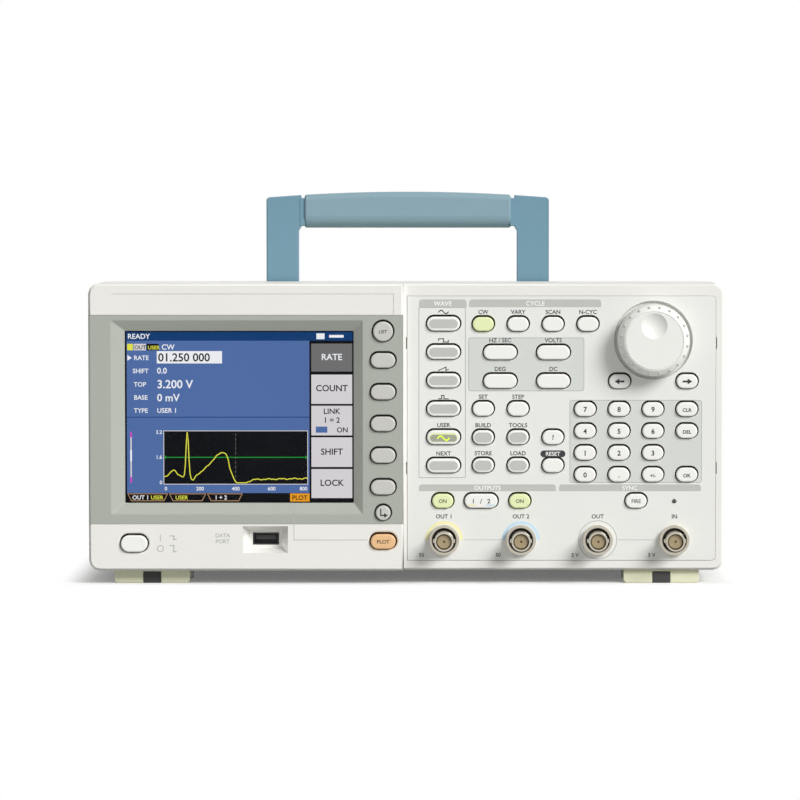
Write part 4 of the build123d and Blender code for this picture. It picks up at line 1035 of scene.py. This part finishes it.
def socket_forms(x, z, panel, way):
    """The chains of one socket: its outside and bore, the insulator and its eye, the contact, and
    the outside and inside of a black ring in the gap round the barrel, which paints the shade
    there. way is -1 for one that faces front."""
    waist = barrel - 0.35
    outside = [(barrel - 0.25, reach), (barrel, reach - 0.25), (barrel, reach - 3.9), (waist, reach - 4.1),
               (waist, reach - 4.9), (barrel, reach - 5.1), (barrel, 0.6), (cup, 0.6), (cup, 3.0),
               (cup + 0.2, 3.2), (nut - 0.3, 3.2), (nut, 2.9), (nut, 0.0), (barrel, 0.0), (barrel, -6.4)]
    mouth_in = [(bore + 0.2, reach), (bore, reach - 0.3), (bore, reach - 9.0)]
    core = [(3.3, reach - 1.4), (3.6, reach - 1.7), (3.6, reach - 9.0)]
    eye = [(0.7, reach - 1.4), (0.55, reach - 1.6), (0.55, reach - 5.0)]
    pin = [(0.3, reach - 4.2), (0.5, reach - 4.4), (0.5, reach - 5.2)]
    shade_ring = [(cup - 0.05, 1.0), (cup - 0.05, 0.7)]
    shade_ring_hole = [(barrel + 0.05, 1.0), (barrel + 0.05, 0.7)]
    chains = [(outside, 48), (mouth_in, 48), (core, 28), (eye, 20), (pin, 20), (shade_ring, 40), (shade_ring_hole, 40)]
    return [cone_rings(x, z, [(radius, panel + way * y) for radius, y in profile], steps)
            for profile, steps in chains]


def joined(name, pieces):
    """Several pieces of one material as one."""
    form = bmesh.new()
    for piece in pieces:
        form.from_mesh(piece.data)
        bpy.data.objects.remove(piece)
    return formed(name, form)


bodies, cores, pins, shade_rings = [], [], [], []
_, r_right, _, rear_face, _, _ = span("rear_panel")
sockets = [(x, bnc_z, p_front, -1) for x in bnc_xs]
sockets += [(r_right - inset, b_high - nut, rear_face, 1) for inset in (59.5, 31.5)]
for number, (x, z, panel, way) in enumerate(sockets):
    body, pit, core, eye, pin, shade_ring, shade_ring_hole = socket_forms(x, z, panel, way)
    shade_rings.append(moulding(f"seal_{number}", [shade_ring, shade_ring_hole]))
    bodies.append(moulding(f"socket_{number}", [body], [pit]))
    for side in (-1, 1):
        lug_x = x + side * (barrel + 0.1)
        lug = box_loop(lug_x - 0.6, lug_x + 0.6, z - 0.95, z + 0.95)
        bodies.append(moulding(f"lug_{number}_{side}", [
            through(lug, panel + way * (reach - 6.7), panel + way * (reach - 8.6))]))
    cores.append(moulding(f"core_{number}", [core], [eye]))
    pins.append(moulding(f"pin_{number}", [pin]))
settle(even(joined("bnc_socket_bodies", bodies)), plated, "instrument", "nickel", "bnc_connectors")
settle(even(joined("bnc_socket_insulators", cores)), tan_ptfe, "instrument", "insulator", "bnc_insulators")
settle(joined("bnc_socket_gap_shade_rings", shade_rings), shade_ring_black, "instrument", "foot_rubber")
settle(joined("bnc_socket_contacts", pins), gold, "instrument", "nickel")

# ---------------------------------------------------------------------------------------------
# Interface sockets
# Folded and plated steel shells. The front USB socket stands in its recess, dark inside, with a
# black tongue; the rear ones keep their CAD shells.
shell_steel = finish("plated_steel_shell", "9FA2A4", 0.32, 0.5, 0.006, 0.06, 1.0)
coat("io_sockets", shell_steel)
black_nylon = finish("black_nylon", "141516", 0.42, 0.5, 0.01, 0.05)


def usb_box(half_wide, low, high, front, back):
    """A box in the front USB socket, about its middle, at depths behind its mouth."""
    return through(box_loop(usb_x - half_wide, usb_x + half_wide, usb_z + low, usb_z + high),
                   io_front + front, io_front + back)


usb_pieces = {"usb_edge": [usb_box(6.65, -3.0, 3.0, -0.08, 0.4), usb_box(6.0, -2.35, 2.35, -0.08, 0.4)],
              "usb_tongue": [usb_box(5.2, 0.1, 1.9, 0.6, 12.0)],
              "usb_dark_well": [usb_box(6.2, -2.55, 2.55, 8.0, 8.3)]}
for name, edges in usb_pieces.items():
    settle(moulding(name, edges), black_nylon, "instrument", "black_plastic")

# ---------------------------------------------------------------------------------------------
# Rear panel, mains inlet and fan
# A passivated aluminium sheet with its cut-outs, a black inlet with three blades, and a black
# axial fan behind the slotted grille. Countersunk screws hold the sheet and the fan.
sheet_metal = finish("passivated_aluminium_sheet", "C6C7C4", 0.42, 0.7, 0.006, 0.05, 1.0,
                     stretch=(0.12, 1, 1))
coat("rear_panel", sheet_metal)
inlet = softened("mains_inlet", "power_inlet", 0.3)
settle(inlet, black_nylon, "instrument", "black_plastic", "power_inlet")
fan_black = finish("black_glass_filled_pbt", "1B1C1E", 0.5, 0.5, 0.012, 0.05)
coat("cooling_fan", fan_black)
coat("fan_rotor", fan_black)


def screw_tree():
    """Geometry Nodes for screw heads with a cross recess, each turned its own way."""
    tree, given = tree_of("cross_head_screws", "Screws", ("Radius", "Height", "Facing"))
    top = add(tree, "ShaderNodeMath", {0: given["Radius"], 1: 0.72}, operation="MULTIPLY").outputs[0]
    screw_head = add(tree, "GeometryNodeMeshCone", {
        "Vertices": 24, "Side Segments": 2, "Fill Segments": 1, "Radius Top": top,
        "Radius Bottom": given["Radius"], "Depth": given["Height"]}).outputs[0]
    arms = []
    for shares in ((1.05, 0.26), (0.26, 1.05)):
        long, wide = [add(tree, "ShaderNodeMath", {0: given["Radius"], 1: share}, operation="MULTIPLY")
                      for share in shares]
        size = add(tree, "ShaderNodeCombineXYZ", {
            0: long.outputs[0], 1: wide.outputs[0], 2: given["Height"]}).outputs[0]
        block = add(tree, "GeometryNodeMeshCube", {"Size": size}).outputs[0]
        lift = add(tree, "ShaderNodeCombineXYZ", {2: given["Height"]}).outputs[0]
        arms.append(add(tree, "GeometryNodeTransform", {"Geometry": block, "Translation": lift}).outputs[0])
    cut = screw_head
    for arm in arms:
        cut = add(tree, "GeometryNodeMeshBoolean", {
            "Mesh 1": cut, "Mesh 2": arm}, operation="DIFFERENCE").outputs[0]
    tilt = add(tree, "ShaderNodeCombineXYZ", {0: given["Facing"]}).outputs[0]
    # Inputs 2 and 3 are the least and the most of a single number.
    spin = add(tree, "FunctionNodeRandomValue", {2: 0.0, 3: 1.5, "Seed": 7}, data_type="FLOAT")
    own = add(tree, "ShaderNodeCombineXYZ", {2: spin.outputs[1]}).outputs[0]
    placed = add(tree, "GeometryNodeInstanceOnPoints", {
        "Points": given["Marks"], "Instance": cut, "Rotation": tilt})
    turned = add(tree, "GeometryNodeRotateInstances", {"Instances": placed.outputs[0], "Rotation": own})
    finished(tree, "Screws", turned.outputs[0], given["Material"])
    return tree


screws = screw_tree()
steel = finish("zinc_plated_screw", "B9BBBD", 0.3, 0.4, 0.004, 0.05, 1.0)
fan_left, fan_right, _, _, fan_low, fan_high = span("cooling_fan")
r_left, r_right, _, rear_face, r_low, r_high = span("rear_panel")
fan_at = [(x, z) for x in (fan_left + 4, fan_right - 4) for z in (fan_low + 4, fan_high - 4)]
sheet_xs = (r_left + 8, (r_left + r_right) / 2, r_right - 8)
sheet_at = [(x, z) for x in sheet_xs for z in (r_low + 7, r_high - 7)]
marks = [(x, rear_face + 0.4, z) for x, z in fan_at + sheet_at]
given = {"Radius": 0.0029, "Height": 0.0012, "Facing": -math.pi / 2, "Material": steel}
settle(grown_from("rear_screws", marks, screws, **given), steel, "instrument", "chassis_steel")

# ---------------------------------------------------------------------------------------------
# Feet and bumpers
# Two folding front feet of beige nylon, each with a dark rubber pad let into its tip; two plain
# rear feet and four corner bumpers of grey thermoplastic rubber.
nylon = finish("beige_nylon", "E4E4C6", 0.48, 0.5, 0.012, 0.02)
rubber = finish("moulded_dark_rubber", "3A3A3A", 0.75, 0.6, 0.02, 0.05, **{"Sheen Weight": 0.2})
grey_rubber = finish("grey_thermoplastic_rubber", "5B5C5A", 0.7, 0.6, 0.02, 0.04, **{"Sheen Weight": 0.2})
for side in ("left", "right"):
    foot, pad, body = f"flip_foot_{side}", f"flip_pad_{side}", f"foot_{side}"
    settle(softened(f"folding_foot_{side}", foot, 0.4), nylon, body, "foot_plastic", foot)
    settle(softened(f"foot_pad_{side}", pad, 0.4, 3), rubber, body, "pad_rubber", pad)
rear_feet = softened("rear_feet_moulding", "rear_feet", 0.6, 3)
settle(rear_feet, grey_rubber, "instrument", "foot_rubber", "rear_feet")

# ---------------------------------------------------------------------------------------------
# Carrying handle
# Two arms of blue-grey glass-filled nylon on pivot pins, joined by a bar; a slightly lighter
# moulded grip is shut over the bar, with a dark groove at each end.
arm_nylon = finish("blue_grey_nylon", "6A90A1", 0.5, 0.6, 0.014, 0.02)
grip_nylon = finish("pale_blue_grey_grip", "809CA7", 0.52, 0.6, 0.014, 0.02)
_, _, a_front, a_back, a_low, _ = span("handle_arms")
_, g_right, g_front, g_back, g_low, g_high = span("handle_grip")
head, groove = 1.3, 1.9                     # how far each arm's head reaches in, and the gap after it
grip_low = g_low + 1.4
arch = 1.6                                  # rise of the grip's top at its middle


def grip_section(x, half, inset=0.0):
    """The grip's section at x, as points: round below, softer above, its top a little arched."""
    top = g_high - arch * (x / half) ** 2 - inset
    front, back, low = g_front + inset, g_back - inset, grip_low + inset
    loop = []
    corners = [(back - 3.0, top - 3.0, 3.0), (front + 3.0, top - 3.0, 3.0), (front + 6.5, low + 6.5, 6.5),
               (back - 6.5, low + 6.5, 6.5)]
    for quarter, (y, z, radius) in enumerate(corners):
        for i in range(7):
            turn = math.pi / 2 * (quarter + i / 6)
            loop.append((x, y + radius * math.cos(turn), z + radius * math.sin(turn)))
    return loop


def lofted(name, sections):
    """A closed solid through like sections, each a loop of points."""
    form = bmesh.new()
    rings = corners_of(form, sections)
    wall_in(form, rings)
    form.faces.new(rings[0])
    form.faces.new(rings[-1])
    bmesh.ops.recalc_face_normals(form, faces=form.faces)
    return formed(name, form)


inner = g_right + 2.4                       # inside face of an arm
half = inner - head - groove
ends = [(half, 0.9), (half - 0.3, 0.4), (half - 0.9, 0.0)]
stations = ([(-x, inset) for x, inset in ends] + [(half * i / 12, 0.0) for i in range(-11, 12)]
            + [(x, inset) for x, inset in reversed(ends)])
grip = lofted("handle_grip_moulding", [grip_section(x, half, inset) for x, inset in stations])
settle(even(grip), grip_nylon, "handle", "handle_grip", "handle_grip")
outer = inner + 17.0                        # outside face of an arm
end_radius = (a_back - a_front) / 2
pivot_y, pivot_z = (a_front + a_back) / 2, a_low + end_radius


def arm(side):
    """One arm, round at its pivot end, with a head that reaches in to the grip. Its top carries the
    grip's arch on and rounds off at the outer corner."""
    form = bmesh.new()

    def loop(x, drop, low, whole=True):
        """The arm's outline at x, in Y and Z; the head's stops at low."""
        top = g_high - arch - 0.07 * (abs(x) - half) - drop
        points = [(a_front, low), (a_front, top), (a_back, top), (a_back, low)]
        if whole:
            for i in range(17):
                across, up = math.cos(-math.pi * i / 16), math.sin(-math.pi * i / 16)
                points.append((pivot_y + end_radius * across, pivot_z + end_radius * up))
        return corners_of(form, [[(side * x, y, z) for y, z in points]])[0]

    shoulder = grip_low - 1.6
    rings = [loop(outer, 1.4, shoulder), loop(outer - 0.4, 0.6, shoulder), loop(outer - 1.4, 0.0, shoulder),
             loop(inner, 0.0, shoulder)]
    wall_in(form, rings)
    form.faces.new(rings[0])
    form.faces.new(rings[-1][3:] + rings[-1][:1])
    tip = loop(inner - head, 0.0, grip_low + 0.6, False)
    wall_in(form, [rings[-1][:4], tip])
    form.faces.new(tip)
    bmesh.ops.recalc_face_normals(form, faces=form.faces)
    return formed("arm", form)


parts = []
for side in (-1, 1):
    parts.append(arm(side))
    near, far = sorted((side * (inner - head + 0.5), side * (half - 0.3)))
    neck = box_loop(near, far, grip_low + 0.9, g_high - arch - 1.7)
    parts.append(moulding("neck", [through(neck, g_front + 1.2, g_back - 1.2)]))
    pin_ends = sorted((side * (outer - 1.0), side * span("handle_arms")[1]))
    pin = [[(x, pivot_y + 3.0 * math.cos(math.pi * i / 16), pivot_z + 3.0 * math.sin(math.pi * i / 16))
            for i in range(32)] for x in pin_ends]
    parts.append(lofted("pin", pin))
arms = joined("handle_arms_moulding", parts)
settle(even(ease(arms, 0.5, 3)), arm_nylon, "handle", "handle_core", "handle_arms")

# ---------------------------------------------------------------------------------------------
# Studio
# A white sweep lit by a broad soft lamp from the upper right and an even white surround.
# Both read as pure white to the camera, and light the object less strongly than they look.


def seen_in(tree):
    """One where a ray comes from the camera, from gloss or through clear matter, else nothing."""
    path = add(tree, "ShaderNodeLightPath").outputs
    kinds = {0: path["Is Camera Ray"], 1: path["Is Glossy Ray"]}
    seen = add(tree, "ShaderNodeMath", kinds, operation="MAXIMUM").outputs[0]
    kinds = {0: seen, 1: path["Is Transmission Ray"]}
    return add(tree, "ShaderNodeMath", kinds, operation="MAXIMUM").outputs[0]


def white_stage(name, diffuse, bounce, lift, reach_x, reach_y):
    """A white sheet of the stage: it takes the shadow under the object, and reads as pure white to the
    camera from a little way round it. bounce is its colour where its light falls on the object."""
    made, tree, place = blank(name)
    seen = seen_in(tree)
    light = add(tree, "ShaderNodeMath", {0: seen, 1: lift}, operation="MULTIPLY").outputs[0]
    paper = add(tree, "ShaderNodeMix", {
        0: seen, 6: linear(bounce), 7: linear(diffuse)}, data_type="RGBA").outputs[2]
    shader = add(tree, "ShaderNodeBsdfPrincipled", {
        "Base Color": paper, "Roughness": 0.9, "Specular IOR Level": 0.1,
        "Emission Color": (1, 1, 1, 1), "Emission Strength": light})
    along = add(tree, "ShaderNodeSeparateXYZ", {0: place}).outputs
    outside = []
    for axis, reach in (("X", reach_x), ("Y", reach_y)):
        far = add(tree, "ShaderNodeMath", {0: along[axis]}, operation="ABSOLUTE").outputs[0]
        outside.append(add(tree, "ShaderNodeMath", {0: far, 1: reach}, operation="SUBTRACT").outputs[0])
    beyond = add(tree, "ShaderNodeMath", {0: outside[0], 1: outside[1]}, operation="MAXIMUM").outputs[0]
    fade = add(tree, "ShaderNodeMapRange", {"Value": beyond, "From Min": -0.012, "From Max": 0.008},
               interpolation_type="SMOOTHSTEP").outputs["Result"]
    clear = add(tree, "ShaderNodeMath", {0: fade, 1: seen}, operation="MULTIPLY").outputs[0]
    pure = add(tree, "ShaderNodeEmission", {"Color": (1, 1, 1, 1)}).outputs[0]
    both = add(tree, "ShaderNodeMixShader", {0: clear, 1: shader.outputs["BSDF"], 2: pure}).outputs[0]
    add(tree, "ShaderNodeOutputMaterial", {"Surface": both})
    return made


floor_reach = 30                            # metres, far beyond all that the camera sees
floor_form = bmesh.new()
for x, y in ((-1, -1), (1, -1), (1, 1), (-1, 1)):
    floor_form.verts.new((floor_reach * x, floor_reach * y, 0))
floor_form.faces.new(floor_form.verts)
floor = formed("floor", floor_form)
half_shadow = (0.175, 0.084)                # metres out, in X and Y, where the shadow gives way to white
floor.data.materials.append(white_stage("white_floor", "F4F4F4", "B0B0B0", 0.14, *half_shadow))

world = bpy.data.worlds.new("studio")
bpy.context.scene.world = world
world.use_nodes = True
sky = world.node_tree
sky.nodes.clear()
level = add(sky, "ShaderNodeMapRange", {
    "Value": seen_in(sky), "To Min": 0.4, "To Max": 1.0}).outputs["Result"]
air = add(sky, "ShaderNodeBackground", {"Color": (1, 1, 1, 1), "Strength": level})
add(sky, "ShaderNodeOutputWorld", {"Surface": air.outputs["Background"]})

lamp_data = bpy.data.lights.new("soft_lamp", "SUN")
lamp_data.energy = 3.0
lamp_data.angle = math.radians(25)
soft_lamp = put_in("soft_lamp", lamp_data)
soft_lamp.rotation_euler = Vector((0.60, -0.61, 0.52)).to_track_quat("Z", "Y").to_euler()

# The camera stands over two metres away, a little above and to the right of the middle.
aim = Vector((0.03, p_front / 1000, 0.0956))
distance, rise = 2.3, math.radians(2.8)
camera_data = bpy.data.cameras.new("camera")
camera_data.sensor_width = 36.0
camera_data.lens = 199.4
camera_data.shift_x = -0.0804
camera = put_in("camera", camera_data)
camera.location = aim + distance * Vector((0, -math.cos(rise), math.sin(rise)))
camera.rotation_euler = (aim - camera.location).to_track_quat("-Z", "Y").to_euler()
bpy.context.scene.camera = camera
bpy.context.scene.view_settings.view_transform = "Standard"
